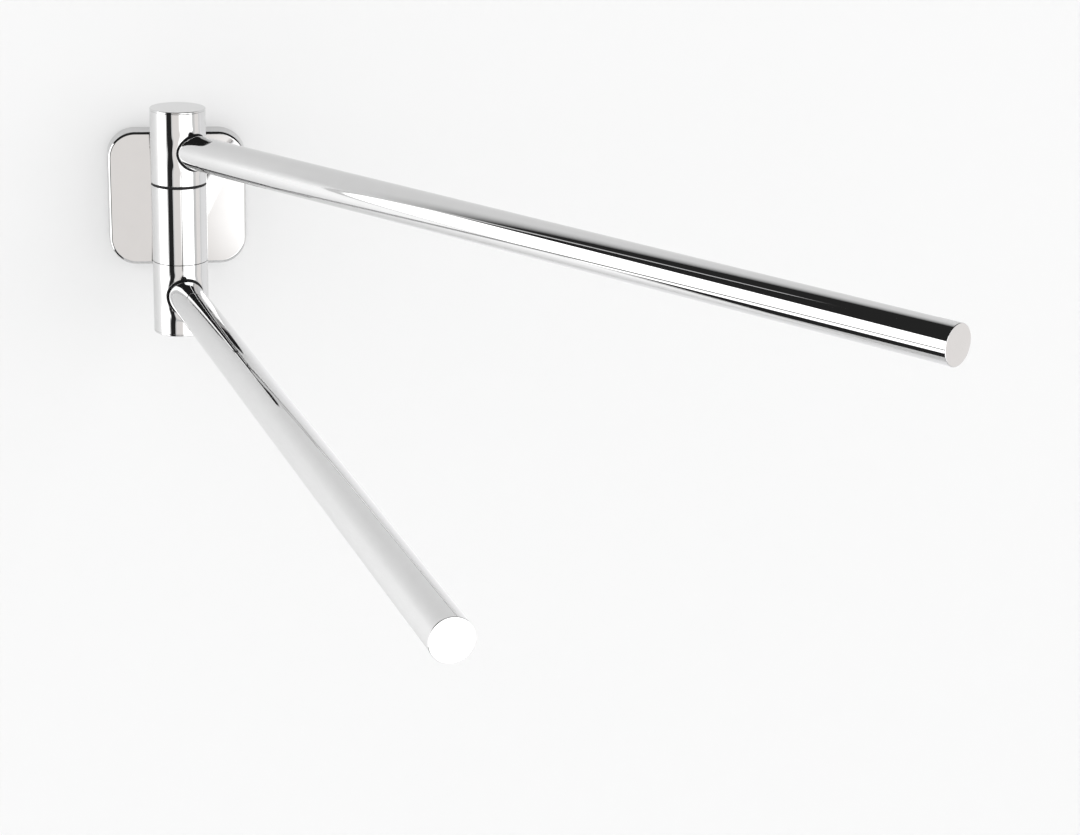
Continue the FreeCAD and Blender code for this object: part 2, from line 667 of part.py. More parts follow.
def heater_start():
    """Distance along the arm where the heater's full section begins."""
    return LEAD_END + FUSE_LENGTH + HEATER_TERMINAL_LENGTH


def heater(side):
    """Sheathed rod heater with a thin terminal at its inner end."""
    terminal_start = V(LEAD_END + FUSE_LENGTH, 0, side.arm_height)
    terminal = rod(HEATER_TERMINAL_RADIUS, terminal_start, X, HEATER_TERMINAL_LENGTH)
    body_start = V(heater_start(), 0, side.arm_height)
    length = ARM_REACH - HEATER_TIP_GAP - heater_start()
    return side.place_turning(terminal.fuse(rod(HEATER_RADIUS, body_start, X, length)))


def heater_spacers(side):
    """Silicone discs that centre the heater in the arm tube."""
    first = heater_start() + SPACER_END_MARGIN
    last = ARM_REACH - HEATER_TIP_GAP - SPACER_END_MARGIN - SPACER_THICKNESS
    discs = []
    for index in range(SPACER_COUNT):
        x = first + (last - first) * index / (SPACER_COUNT - 1)
        discs.append(pipe(ARM_BORE, HEATER_RADIUS, V(x, 0, side.arm_height), X, SPACER_THICKNESS))
    return side.place_turning(Part.makeCompound(discs))


def wall_nodes():
    """Every piece that stays with the wall."""
    return {
        "wall_bracket": wall_bracket(),
        "cover_plate": cover_plate(),
        "cover_gasket": cover_gasket(),
        "cover_grub_screw": cover_grub_screw(),
        "neck_seal": neck_seal(),
        "neck_tube": neck_tube(),
        "neck_screws": neck_screws(),
        "cable_grommet": cable_grommet(),
        "supply_connector": supply_connector(),
        "earth_washer": earth_washer(),
        "earth_screw": earth_screw(),
        "middle_barrel": middle_barrel(),
        "pivot_tube": pivot_tube(),
        "pivot_grub_screws": pivot_grub_screws(),
        "thrust_washer": thrust_washer(),
        "upper_stop_pin": stop_pin(UPPER),
        "lower_stop_pin": stop_pin(LOWER),
        "upper_disc_spring": disc_spring(UPPER),
        "lower_flat_washer": flat_washer(LOWER),
        "upper_pivot_nut": pivot_nut(UPPER),
        "lower_pivot_nut": pivot_nut(LOWER),
        "upper_supply_lead": supply_lead(UPPER),
        "lower_supply_lead": supply_lead(LOWER),
    }


def arm_nodes(side):
    """Every piece that turns with one arm."""
    makers = (
        barrel,
        cap,
        bush,
        clamp_block,
        clamp_screws,
        arm_collar,
        arm_tube,
        tip_plug,
        arm_lead,
        thermal_fuse,
        heater,
        heater_spacers,
    )
    return {side.name + "_" + maker.__name__: maker(side) for maker in makers}


os.makedirs("parts", exist_ok=True)
nodes = wall_nodes()
nodes.update(arm_nodes(UPPER))
nodes.update(arm_nodes(LOWER))
for name, shape in nodes.items():
    shape.exportStep("parts/" + name + ".step")
    print(name, "solids", len(shape.Solids), "volume", round(shape.Volume, 1), "valid", shape.isValid())
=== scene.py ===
import json
import logging
import math
from collections.abc import Callable, Iterable, Sequence
from dataclasses import dataclass, field
from enum import Enum

import bmesh
import bpy
from bmesh.types import BMEdge, BMesh, BMVert
from mathutils import Matrix, Vector

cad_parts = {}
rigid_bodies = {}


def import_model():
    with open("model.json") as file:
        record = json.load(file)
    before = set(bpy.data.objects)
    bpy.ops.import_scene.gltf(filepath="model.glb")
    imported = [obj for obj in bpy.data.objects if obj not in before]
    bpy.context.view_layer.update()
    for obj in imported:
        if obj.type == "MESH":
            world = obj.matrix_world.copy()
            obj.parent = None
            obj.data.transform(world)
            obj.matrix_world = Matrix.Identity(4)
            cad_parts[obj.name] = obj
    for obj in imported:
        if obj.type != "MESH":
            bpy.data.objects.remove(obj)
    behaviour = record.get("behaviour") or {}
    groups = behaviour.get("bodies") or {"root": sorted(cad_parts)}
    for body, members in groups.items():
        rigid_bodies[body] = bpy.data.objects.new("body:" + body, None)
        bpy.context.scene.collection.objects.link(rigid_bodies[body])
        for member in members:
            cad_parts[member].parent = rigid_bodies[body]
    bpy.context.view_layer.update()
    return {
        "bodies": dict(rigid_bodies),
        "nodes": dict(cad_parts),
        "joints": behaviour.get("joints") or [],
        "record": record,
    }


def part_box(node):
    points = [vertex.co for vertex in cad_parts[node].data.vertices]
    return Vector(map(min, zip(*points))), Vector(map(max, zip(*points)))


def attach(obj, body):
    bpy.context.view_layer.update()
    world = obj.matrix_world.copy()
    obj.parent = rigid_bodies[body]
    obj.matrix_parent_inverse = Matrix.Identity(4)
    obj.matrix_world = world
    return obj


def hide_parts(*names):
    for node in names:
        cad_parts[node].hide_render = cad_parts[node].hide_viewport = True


log = logging.getLogger("towel_warmer")

MM = 0.001
X_AXIS = Vector((1.0, 0.0, 0.0))
Y_AXIS = Vector((0.0, 1.0, 0.0))
Z_AXIS = Vector((0.0, 0.0, 1.0))
AROUND = 256
EDGE_STEPS = 6
# Points closer than this are made into one.
WELD = 0.0005 * MM
# Lengths that count as nothing, strictly and loosely.
TINY = 0.001 * MM
SMALL = 0.01 * MM
# Cosine below which a direction counts as square to another, and above which it counts as along it.
SQUARE = 0.02
ALONG = 0.999

SocketValue = float | int | tuple[float, ...] | bpy.types.NodeSocket
Point = tuple[float, float]
Span = tuple[float, float]
Corners = tuple[tuple[float, float, float], ...]
NormalRule = Callable[[Vector, Vector, Vector], Vector]


# ---------------------------------------------------------------- finishes


def linear(code: str) -> tuple[float, float, float, float]:
    """Turn an sRGB hex colour into linear light.

    Args:
        code: six hex digits, red first.

    Returns:
        Linear red, green, blue and an alpha of one.
    """
    parts = [int(code[start:start + 2], 16) / 255.0 for start in (0, 2, 4)]
    # The bends and the power of the sRGB curve.
    light = [p / 12.92 if p <= 0.04045 else ((p + 0.055) / 1.055) ** 2.4 for p in parts]
    return (light[0], light[1], light[2], 1.0)


def add_node(
    tree: bpy.types.NodeTree, kind: str, inputs: dict[str | int, SocketValue], **settings: object
) -> bpy.types.Node:
    """Add one shader node with its settings, values and links.

    Args:
        tree: the node tree that takes the node.
        kind: the node's type name.
        inputs: a value or a linked socket for each input.
        **settings: properties set on the node itself.

    Returns:
        The new node.
    """
    made = tree.nodes.new(kind)
    for name, value in settings.items():
        setattr(made, name, value)
    for key, value in inputs.items():
        if isinstance(value, bpy.types.NodeSocket):
            tree.links.new(value, made.inputs[key])
        else:
            made.inputs[key].default_value = value
    return made


def new_material(name: str) -> tuple[bpy.types.Material, bpy.types.NodeTree]:
    """Start a material with an empty node tree.

    Args:
        name: the material's name.

    Returns:
        The material and its tree.
    """
    material = bpy.data.materials.new(name)
    material.use_nodes = True
    material.node_tree.nodes.clear()
    return material, material.node_tree


def noise(
    tree: bpy.types.NodeTree, place: bpy.types.NodeSocket, size_mm: float, detail: float
) -> bpy.types.NodeSocket:
    """Add a cloudy pattern.

    Args:
        tree: the node tree that takes it.
        place: object coordinates, in metres.
        size_mm: size of its clouds.
        detail: how many finer layers it has.

    Returns:
        The pattern's output socket, from zero to one.
    """
    inputs = {"Vector": place, "Scale": 1.0 / (size_mm * MM), "Detail": detail}
    return add_node(tree, "ShaderNodeTexNoise", inputs).outputs["Fac"]


class Pattern(Enum):
    """How a surface varies from place to place."""

    CLOUD = "cloud"
    TOOL_MARKS = "tool marks"
    CRYSTALS = "crystals"


# The colour's mottle is this many grains across, with this many finer layers.
MOTTLE_GRAINS = 9.0
MOTTLE_DETAIL = 3.0
# Finer layers of the grain, and how tool rings repeat, wander and break up.
GRAIN_DETAIL = 4.0
RING_SCALE = 6.28
RING_WANDER = 1.5
RING_DETAIL = 2.0


@dataclass(frozen=True)
class Finish:
    """One real material with the marks that its making leaves."""

    name: str
    colour: str
    second_colour: str
    metallic: float
    roughness: tuple[float, float]
    grain_mm: float
    relief_mm: float
    pattern: Pattern = Pattern.CLOUD
    wave_mm: float = 0.0
    wave_relief_mm: float = 0.0
    subsurface: float = 0.0
    specular: float = 0.5

    def build(self) -> bpy.types.Material:
        """Make the material.

        Returns:
            The finished material.
        """
        material, tree = new_material(self.name)
        place = add_node(tree, "ShaderNodeTexCoord", {}).outputs["Object"]
        marks = self._marks(tree, place)
        mottle = noise(tree, place, self.grain_mm * MOTTLE_GRAINS, MOTTLE_DETAIL)
        blend = {0: mottle, 6: linear(self.colour), 7: linear(self.second_colour)}
        colour = add_node(tree, "ShaderNodeMix", blend, data_type="RGBA").outputs[2]
        haze = {"Value": marks, "To Min": self.roughness[0], "To Max": self.roughness[1]}
        relief = {"Height": marks, "Strength": 1.0, "Distance": self.relief_mm * MM}
        normal = add_node(tree, "ShaderNodeBump", relief).outputs["Normal"]
        if self.wave_mm:
            wave = noise(tree, place, self.wave_mm, 0.0)
            swell = {"Height": wave, "Strength": 1.0, "Distance": self.wave_relief_mm * MM, "Normal": normal}
            normal = add_node(tree, "ShaderNodeBump", swell).outputs["Normal"]
        surface = {
            "Base Color": colour,
            "Metallic": self.metallic,
            "Roughness": add_node(tree, "ShaderNodeMapRange", haze).outputs["Result"],
            "Normal": normal,
            "Subsurface Weight": self.subsurface,
            "Specular IOR Level": self.specular,
        }
        shader = add_node(tree, "ShaderNodeBsdfPrincipled", surface)
        add_node(tree, "ShaderNodeOutputMaterial", {"Surface": shader.outputs[0]})
        return material

    def _marks(self, tree: bpy.types.NodeTree, place: bpy.types.NodeSocket) -> bpy.types.NodeSocket:
        """Make the height pattern that the making leaves.

        Args:
            tree: the material's node tree.
            place: object coordinates, in metres.

        Returns:
            The pattern's output socket, from zero to one.
        """
        scale = 1.0 / (self.grain_mm * MM)
        if self.pattern is Pattern.CRYSTALS:
            cells = {"Vector": place, "Scale": scale}
            return add_node(tree, "ShaderNodeTexVoronoi", cells, feature="F1").outputs["Distance"]
        if self.pattern is Pattern.TOOL_MARKS:
            rings = {
                "Vector": place, "Scale": scale / RING_SCALE, "Distortion": RING_WANDER, "Detail": RING_DETAIL
            }
            return add_node(tree, "ShaderNodeTexWave", rings, bands_direction="Z").outputs["Fac"]
        return noise(tree, place, self.grain_mm, GRAIN_DETAIL)


# Bright nickel and chrome plated brass, mirror buffed. The plating is even, so the eye reads only
# the room in it; the buffing wheel leaves slow waves about 40 mm long and a very faint haze.
CHROME_PLATED_BRASS = Finish(
    "chrome_plated_brass_buffed", "d0d0d0", "cccccc", 1.0, (0.02, 0.045), 1.2, 0.00004,
    wave_mm=38.0, wave_relief_mm=0.03,
)
# Pressed mild steel, bright zinc plated. Bluish grey with small crystals and a soft shine.
ZINC_PLATED_STEEL = Finish(
    "zinc_plated_pressed_steel", "b4b9bd", "9ba1a6", 1.0, (0.28, 0.5), 2.2, 0.004, Pattern.CRYSTALS
)
# Stainless steel, turned. Fine rings from the tool, 0.25 mm apart, spread the highlight.
TURNED_STAINLESS = Finish(
    "stainless_steel_turned", "c6c5c1", "b3b2ae", 1.0, (0.18, 0.34), 0.25, 0.003, Pattern.TOOL_MARKS
)
# Hardened spring steel, oiled. Dark and uneven with a dull gleam.
OILED_SPRING_STEEL = Finish(
    "spring_steel_hardened_oiled", "5b5a5c", "3f3e41", 1.0, (0.3, 0.48), 0.8, 0.003
)
# Free-cutting brass, turned and left bare. Warm yellow with tool rings and a light tarnish.
TURNED_BRASS = Finish(
    "brass_turned_bare", "cfae5f", "b08d45", 1.0, (0.2, 0.36), 0.25, 0.003, Pattern.TOOL_MARKS
)
# EPDM rubber, moulded. Matt black with a fine open texture that catches almost no light.
MOULDED_RUBBER = Finish(
    "epdm_rubber_moulded", "1b1b1c", "242425", 0.0, (0.72, 0.88), 0.5, 0.03
)
# Acetal, moulded. Near black and satin, with the fine grain of the mould's spark finish.
MOULDED_ACETAL = Finish(
    "acetal_moulded_black", "0d0d0f", "151517", 0.0, (0.5, 0.65), 0.35, 0.008, specular=0.25
)
# Nylon, moulded. Milky off-white with a little light going into it.
MOULDED_NYLON = Finish(
    "nylon_moulded_white", "e6e3d9", "d8d4c8", 0.0, (0.4, 0.55), 0.6, 0.006, subsurface=0.05
)
# Silicone rubber, moulded brick red. Soft sheen and slightly cloudy colour.
MOULDED_SILICONE = Finish(
    "silicone_moulded_red", "a3442f", "8c3826", 0.0, (0.5, 0.65), 0.7, 0.01, subsurface=0.05
)
# Silicone insulation, extruded. Pale grey with faint draw lines along the lead.
EXTRUDED_SILICONE = Finish(
    "silicone_lead_extruded", "c9c4ba", "b8b2a7", 0.0, (0.45, 0.6), 0.5, 0.008
)
# Stainless heater sheath, annealed. Straw and brown temper colours over a dull grey.
ANNEALED_SHEATH = Finish(
    "stainless_sheath_annealed", "a8967c", "7d7468", 1.0, (0.35, 0.55), 1.5, 0.004
)

FINISH_BY_SLOT: dict[str, Finish] = {
    "chrome_plate": CHROME_PLATED_BRASS,
    "zinc_steel": ZINC_PLATED_STEEL,
    "stainless": TURNED_STAINLESS,
    "spring_steel": OILED_SPRING_STEEL,
    "brass": TURNED_BRASS,
    "black_rubber": MOULDED_RUBBER,
    "dark_polymer": MOULDED_ACETAL,
    "white_nylon": MOULDED_NYLON,
    "silicone": MOULDED_SILICONE,
    "silicone_lead": EXTRUDED_SILICONE,
    "heater_sheath": ANNEALED_SHEATH,
}


class Paintbox:
    """Builds each finish once and hands it out."""

    def __init__(self) -> None:
        """Start with nothing built."""
        self._made: dict[str, bpy.types.Material] = {}

    def of_slot(self, slot_name: str) -> bpy.types.Material:
        """Give the material of one of the record's slots.

        Args:
            slot_name: a material slot of the record.

        Returns:
            The material that the slot stands for.
        """
        if slot_name not in self._made:
            self._made[slot_name] = FINISH_BY_SLOT[slot_name].build()
        return self._made[slot_name]

    def dress_nodes(self, nodes: dict[str, bpy.types.Object], subparts: Iterable[dict]) -> None:
        """Give every carried-over node the finish of its slot.

        Args:
            nodes: the frame's node objects by name.
            subparts: the record's list of nodes and slots.
        """
        for part in subparts:
            material = self.of_slot(part["material_slot"])
            for holder in nodes[part["node"]].material_slots:
                holder.link = "OBJECT"
                holder.material = material
            log.info("dressed %s in %s", part["node"], material.name)


# ---------------------------------------------------------------- places


@dataclass(frozen=True)
class Extent:
    """The box of one node at rest, in metres."""

    low: Vector
    high: Vector

    @classmethod
    def of(cls, node: str) -> "Extent":
        """Read the box of a node."""
        low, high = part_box(node)
        return cls(Vector(low), Vector(high))

    @property
    def centre(self) -> Vector:
        """Middle of the box."""
        return (self.low + self.high) / 2.0


@dataclass(frozen=True)
class ArmLine:
    """Where one arm lies: its swivel axis, height and direction."""

    root: Vector
    direction: Vector
    reach: float

    @classmethod
    def read(cls, side: str, radius: float, edge: float) -> "ArmLine":
        """Work the line out from the boxes of the arm's own nodes.

        Args:
            side: upper or lower.
            radius: the tip's outer radius.
            edge: the tip's edge radius.

        Returns:
            The arm's line, with its reach from the swivel axis to the tip's face.
        """
        tip = Extent.of(f"{side}_tip_plug")
        root = Extent.of("middle_barrel").centre
        root.z = tip.centre.z
        out = (tip.centre - root).normalized()
        across = edge + (radius - edge) * abs(out.x)
        reach = (root.y - tip.low.y - across) / abs(out.y) + edge
        return cls(root, out, reach)

    @property
    def frame(self) -> Matrix:
        """Matrix from the arm's own axes, +X outwards and +Z up, to the room."""
        return Matrix.Translation(self.root) @ Matrix.Rotation(
            math.atan2(self.direction.y, self.direction.x), 4, "Z"
        )


# ---------------------------------------------------------------- mesh tools


def arc(centre: Point, radius: float, start: float, end: float, steps: int = EDGE_STEPS) -> list[Point]:
    """Points along a circular edge in a section.

    Args:
        centre: the edge's centre.
        radius: the edge's radius.
        start: first angle in degrees.
        end: last angle in degrees.
        steps: how many straight pieces the edge has.

    Returns:
        The points from start to end.
    """
    points = []
    for index in range(steps + 1):
        turn = math.radians(start + (end - start) * index / steps)
        points.append((centre[0] + radius * math.cos(turn), centre[1] + radius * math.sin(turn)))
    return points


def turned(section: Sequence[Point], matrix: Matrix, closed: bool) -> BMesh:
    """Spin a section of radius and height round an axis, as on a lathe.

    Args:
        section: radius and height of each point, in metres.
        matrix: places the lathe's Z axis in the room.
        closed: True where the section is a loop that stays clear of the axis.

    Returns:
        The turned shape, with its normals outwards.
    """
    shape = bmesh.new()
    points = [shape.verts.new((radius, 0.0, height)) for radius, height in section]
    edges = [shape.edges.new(pair) for pair in zip(points, points[1:])]
    if closed:
        edges.append(shape.edges.new((points[-1], points[0])))
    bmesh.ops.spin(
        shape, geom=points + edges, cent=(0, 0, 0), axis=Z_AXIS, angle=math.tau, steps=AROUND, use_merge=True
    )
    bmesh.ops.remove_doubles(shape, verts=shape.verts, dist=WELD)
    bmesh.ops.recalc_face_normals(shape, faces=shape.faces)
    bmesh.ops.transform(shape, matrix=matrix, verts=shape.verts)
    return shape


def grow_ring(shape: BMesh, ring: Sequence[BMVert], places: Sequence[Vector]) -> list[BMVert]:
    """Extrude a closed ring of points to new places.

    Args:
        shape: the mesh that holds the ring.
        ring: the ring's points, in order.
        places: where each point's copy goes.

    Returns:
        The new ring, in the same order.
    """
    edges = [shape.edges.get((ring[index - 1], ring[index])) for index in range(len(ring))]
    grown = bmesh.ops.extrude_edge_only(shape, edges=edges)["geom"]
    fresh = [item for item in grown if isinstance(item, BMVert)]
    fresh_set = set(fresh)
    after = []
    for old, place in zip(ring, places):
        new = next(e.other_vert(old) for e in old.link_edges if e.other_vert(old) in fresh_set)
        new.co = place
        after.append(new)
    return after


def first_ring(shape: BMesh, places: Sequence[Vector]) -> list[BMVert]:
    """Start a mesh with one closed ring of points.

    Args:
        shape: the mesh that takes the ring.
        places: where each point goes.

    Returns:
        The ring's points, in order.
    """
    point = bmesh.ops.create_circle(shape, segments=len(places), radius=1.0)["verts"][0]
    edge = point.link_edges[0]
    ring = []
    for place in places:
        ring.append(point)
        point.co = place
        point = edge.other_vert(point)
        edge = next(other for other in point.link_edges if other is not edge)
    return ring


def drill(radius: float, start: float, end: float, place: Matrix) -> BMesh:
    """Make a round cutter.

    Args:
        radius: the hole's radius.
        start: where the cutter begins along its axis.
        end: where it ends.
        place: puts its Z axis in the room.

    Returns:
        The cutter.
    """
    return turned([(0.0, start), (radius, start), (radius, end), (0.0, end)], place, closed=False)


def drilled(body: BMesh, cutters: Sequence[BMesh]) -> BMesh:
    """Cut closed shapes out of a closed body.

    Args:
        body: the mesh that is cut.
        cutters: the closed shapes taken out of it.

    Returns:
        The cut mesh.
    """
    holder = make_object("drilling_body", body)
    tools = [make_object(f"drill_{index}", cutter) for index, cutter in enumerate(cutters)]
    for tool in tools:
        cut = holder.modifiers.new("cut", "BOOLEAN")
        cut.operation = "DIFFERENCE"
        cut.solver = "EXACT"
        cut.object = tool
    shape = bmesh.new()
    shape.from_object(holder, bpy.context.evaluated_depsgraph_get())
    for used in [holder, *tools]:
        mesh = used.data
        bpy.data.objects.remove(used)
        bpy.data.meshes.remove(mesh)
    return shape


def make_object(name: str, shape: BMesh, smooth: bool = True) -> bpy.types.Object:
    """Turn a finished bmesh into an object at the origin.

    Args:
        name: the object's name.
        shape: the mesh, freed afterwards.
        smooth: True where its faces are shaded smooth.

    Returns:
        The object, linked into the scene.
    """
    mesh = bpy.data.meshes.new(name)
    shape.to_mesh(mesh)
    shape.free()
    mesh.polygons.foreach_set("use_smooth", [smooth] * len(mesh.polygons))
    made = bpy.data.objects.new(name, mesh)
    bpy.context.scene.collection.objects.link(made)
    return made


def set_true_normals(made: bpy.types.Object, rule: NormalRule) -> None:
    """Give a mirror surface the exact normals of the shape that its mesh stands for.

    Args:
        made: the object to polish.
        rule: gives a corner's normal from its place, its face's middle and its face's normal,
            or a zero vector to keep the mesh's own.
    """
    mesh = made.data
    normals: list[Vector] = [Vector()] * len(mesh.loops)
    for face in mesh.polygons:
        for loop in face.loop_indices:
            place = mesh.vertices[mesh.loops[loop].vertex_index].co
            normals[loop] = rule(place, face.center, face.normal)
    mesh.normals_split_custom_set(normals)


def lathe_rule(origin: Vector, axis: Vector) -> NormalRule:
    """Normals of a turned surface.

    Args:
        origin: a point on the lathe's axis.
        axis: the axis, of length one.

    Returns:
        A rule that keeps each corner's normal in the plane through the axis.
    """

    def outward(place: Vector) -> Vector:
        """Direction from the axis to a place."""
        arm = place - origin
        arm -= axis * arm.dot(axis)
        return arm.normalized() if arm.length > TINY else Vector()

    def rule(place: Vector, middle: Vector, flat: Vector) -> Vector:
        """Turn the face's own lean to the corner's side of the axis."""
        at_middle = outward(middle)
        lean = flat.dot(at_middle)
        rise = flat.dot(axis)
        if abs(flat.dot(axis.cross(at_middle))) > SQUARE:
            return Vector()
        if abs(rise) < SQUARE:
            lean, rise = math.copysign(1.0, lean), 0.0
        if abs(rise) > ALONG:
            lean, rise = 0.0, math.copysign(1.0, rise)
        return (outward(place) * lean + axis * rise).normalized()

    return rule


# ---------------------------------------------------------------- sub-assemblies


@dataclass
class SubAssembly:
    """Something that builds pieces, rides them on a body and dresses them."""

    paint: Paintbox

    def finish_piece(
        self, made: bpy.types.Object, body: str, slot_name: str, stands_for: Sequence[str]
    ) -> bpy.types.Object:
        """Dress a piece and tie it to the frame.

        Args:
            made: the piece.
            body: the body that it rides on.
            slot_name: the record's slot that it takes its finish from.
            stands_for: the nodes that it replaces.

        Returns:
            The same piece.
        """
        made.data.materials.append(self.paint.of_slot(slot_name))
        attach(made, body)
        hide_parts(*stands_for)
        log.info("made %s, %d faces, rides on %s", made.name, len(made.data.polygons), body)
        return made


# How the cover's surfaces are told apart: the face lies within this depth of the front and is this flat;
# the sides lean outwards and the edge forwards by more than these cosines.
FACE_DEPTH = 0.1 * MM
FACE_FLATNESS = 0.99
SIDE_LEAN = 0.3
EDGE_LEAN = 0.5


@dataclass
class CoverPlate(SubAssembly):
    """Rounded square wall cover with a soft edge and a slightly pillowed face."""

    face_half: float = 38.6 * MM
    corner_centre: float = 24.4 * MM
    edge_radius: float = 2.2 * MM
    flare: float = 0.6 * MM
    depth: float = 11.5 * MM
    front_wall: float = 2.0 * MM
    side_wall: float = 2.2 * MM
    rim_radius: float = 0.5 * MM
    neck_hole_radius: float = 12.3 * MM
    crown: float = 0.4 * MM
    grub_hole_radius: float = 2.02 * MM
    grub_hole_back: float = 5.6 * MM
    grub_hole_reach: tuple[float, float] = (-6.0 * MM, 4.0 * MM)
    corner_steps: int = 28
    side_steps: int = 40
    face_rings: int = 26
    edge_steps: int = 12
    rim_steps: int = 4
    pocket_shares: tuple[float, ...] = (0.75, 0.5, 0.25, 0.0)

    def build(self) -> bpy.types.Object:
        """Make the cover."""
        shape = bmesh.new()
        outline = self._outline(self._lean_start, 0.0)
        hole = [spot.normalized() * self.neck_hole_radius for spot in outline]
        first = first_ring(shape, [self._at(spot, -self.depth) for spot in hole])
        ring = first
        for index in range(1, self.face_rings + 1):
            share = index / self.face_rings
            places = [self._at(a.lerp(b, share), -self.depth) for a, b in zip(hole, outline)]
            ring = grow_ring(shape, ring, places)
        for offset, back in self._edge_section():
            ring = grow_ring(shape, ring, self._outline(offset, back))
        floor_y = -self.depth + self.front_wall
        pocket = self._outline(self._pocket_offset, 0.0)
        for share in self.pocket_shares:
            places = [a.lerp(b, share) + Y_AXIS * floor_y for a, b in zip(hole, pocket)]
            ring = grow_ring(shape, ring, places)
        edges = [shape.edges.get((r[i - 1], r[i])) for r in (first, ring) for i in range(len(r))]
        bmesh.ops.bridge_loops(shape, edges=edges)
        bmesh.ops.recalc_face_normals(shape, faces=shape.faces)
        made = make_object("cover_plate_shell", drilled(shape, [self._grub_drill()]))
        set_true_normals(made, self._normal)
        return self.finish_piece(made, "root", "chrome_plate", ["cover_plate"])

    @property
    def _shoulder(self) -> float:
        """Offset of the side's front line from the corner centres."""
        return self.face_half + self.edge_radius - self.corner_centre

    @property
    def _lean(self) -> float:
        """Angle by which the sides lean, in radians."""
        return math.atan2(self.flare, self.depth)

    @property
    def _lean_start(self) -> float:
        """Offset where the face ends and its edge radius begins."""
        at_centre = self._shoulder + self.edge_radius * math.tan(self._lean)
        return at_centre - self.edge_radius / math.cos(self._lean)

    @property
    def _pocket_offset(self) -> float:
        """Offset of the pocket's wall from the corner centres."""
        return self._shoulder - self.side_wall

    def _edge_section(self) -> list[Point]:
        """Offsets and depths of the rings from the face's edge to the pocket's floor."""
        section = []
        end = math.pi / 2.0 - self._lean
        for index in range(1, self.edge_steps + 1):
            turn = end * index / self.edge_steps
            offset = self._lean_start + self.edge_radius * math.sin(turn)
            section.append((offset, -self.depth + self.edge_radius * (1.0 - math.cos(turn))))
        back = self._shoulder + self.flare
        rim = self.rim_radius
        section += [(back - rim + x, -rim + y) for x, y in arc((0.0, 0.0), rim, 0.0, 90.0, self.rim_steps)]
        section.append((self._pocket_offset, 0.0))
        section.append((self._pocket_offset, -self.depth + self.front_wall))
        return section

    def _outline(self, offset: float, back: float) -> list[Vector]:
        """Rounded square at an offset from its corner centres.

        Args:
            offset: distance outwards from the square of corner centres.
            back: the ring's place along Y.

        Returns:
            The ring's points, starting at the middle of the right side.
        """
        points = []
        reach = self.corner_centre
        for quarter in range(4):
            turn = Matrix.Rotation(-quarter * math.pi / 2.0, 3, "Y")
            for index in range(self.side_steps // 2):
                points.append(turn @ Vector((reach + offset, 0.0, reach * index * 2.0 / self.side_steps)))
            for index in range(self.corner_steps + 1):
                angle = math.pi / 2.0 * index / self.corner_steps
                corner = Vector((reach, 0.0, reach))
                points.append(turn @ (corner + Vector((math.cos(angle), 0.0, math.sin(angle))) * offset))
            for index in range(1, self.side_steps // 2):
                along = reach * (1.0 - index * 2.0 / self.side_steps)
                points.append(turn @ Vector((along, 0.0, reach + offset)))
        return [point + Y_AXIS * back for point in points]

    def _crown_at(self, x: float, z: float) -> float:
        """How far the pillowed face stands out at a place."""
        half = self.face_half
        share = (1.0 - (x / half) ** 2) * (1.0 - (z / half) ** 2)
        return self.crown * share if abs(x) < half and abs(z) < half else 0.0

    def _at(self, spot: Vector, back: float) -> Vector:
        """Put a point of the face on its crown."""
        return Vector((spot.x, back - self._crown_at(spot.x, spot.z), spot.z))

    def _normal(self, place: Vector, middle: Vector, flat: Vector) -> Vector:
        """Exact normal of the face, its edge and its leaning sides.

        Args:
            place: the corner's place.
            middle: its face's middle.
            flat: its face's own normal.

        Returns:
            The normal, or a zero vector inside the cover and in its holes.
        """
        reach = self.corner_centre
        base = Vector((max(-reach, min(reach, place.x)), 0.0, max(-reach, min(reach, place.z))))
        out = Vector((place.x, 0.0, place.z)) - base
        offset = out.length
        front = -self.depth
        on_face = offset < self._lean_start + SMALL and place.y < front + FACE_DEPTH
        if on_face and flat.y < -FACE_FLATNESS:
            half = self.face_half
            slope_x = 2.0 * self.crown * place.x / half ** 2 * (1.0 - (place.z / half) ** 2)
            slope_z = 2.0 * self.crown * place.z / half ** 2 * (1.0 - (place.x / half) ** 2)
            return Vector((slope_x, -1.0, slope_z)).normalized()
        facing_out = flat.dot(Vector((middle.x, 0.0, middle.z)).normalized()) > SIDE_LEAN
        if not facing_out and flat.y > -EDGE_LEAN:
            return Vector()
        if place.y < front + self.edge_radius * (1.0 - math.sin(self._lean)) - TINY:
            rise = place.y + self.depth - self.edge_radius
            return (out.normalized() * (offset - self._lean_start) + Y_AXIS * rise).normalized()
        if place.y < -self.rim_radius - SMALL or middle.y < -2.0 * self.rim_radius:
            return out.normalized() * math.cos(self._lean) - Y_AXIS * math.sin(self._lean)
        return Vector()

    def _grub_drill(self) -> BMesh:
        """Cutter for the grub screw's hole in the underside."""
        place = Matrix.Translation(Vector((0.0, -self.grub_hole_back, -self.face_half)))
        return drill(self.grub_hole_radius, *self.grub_hole_reach, place)


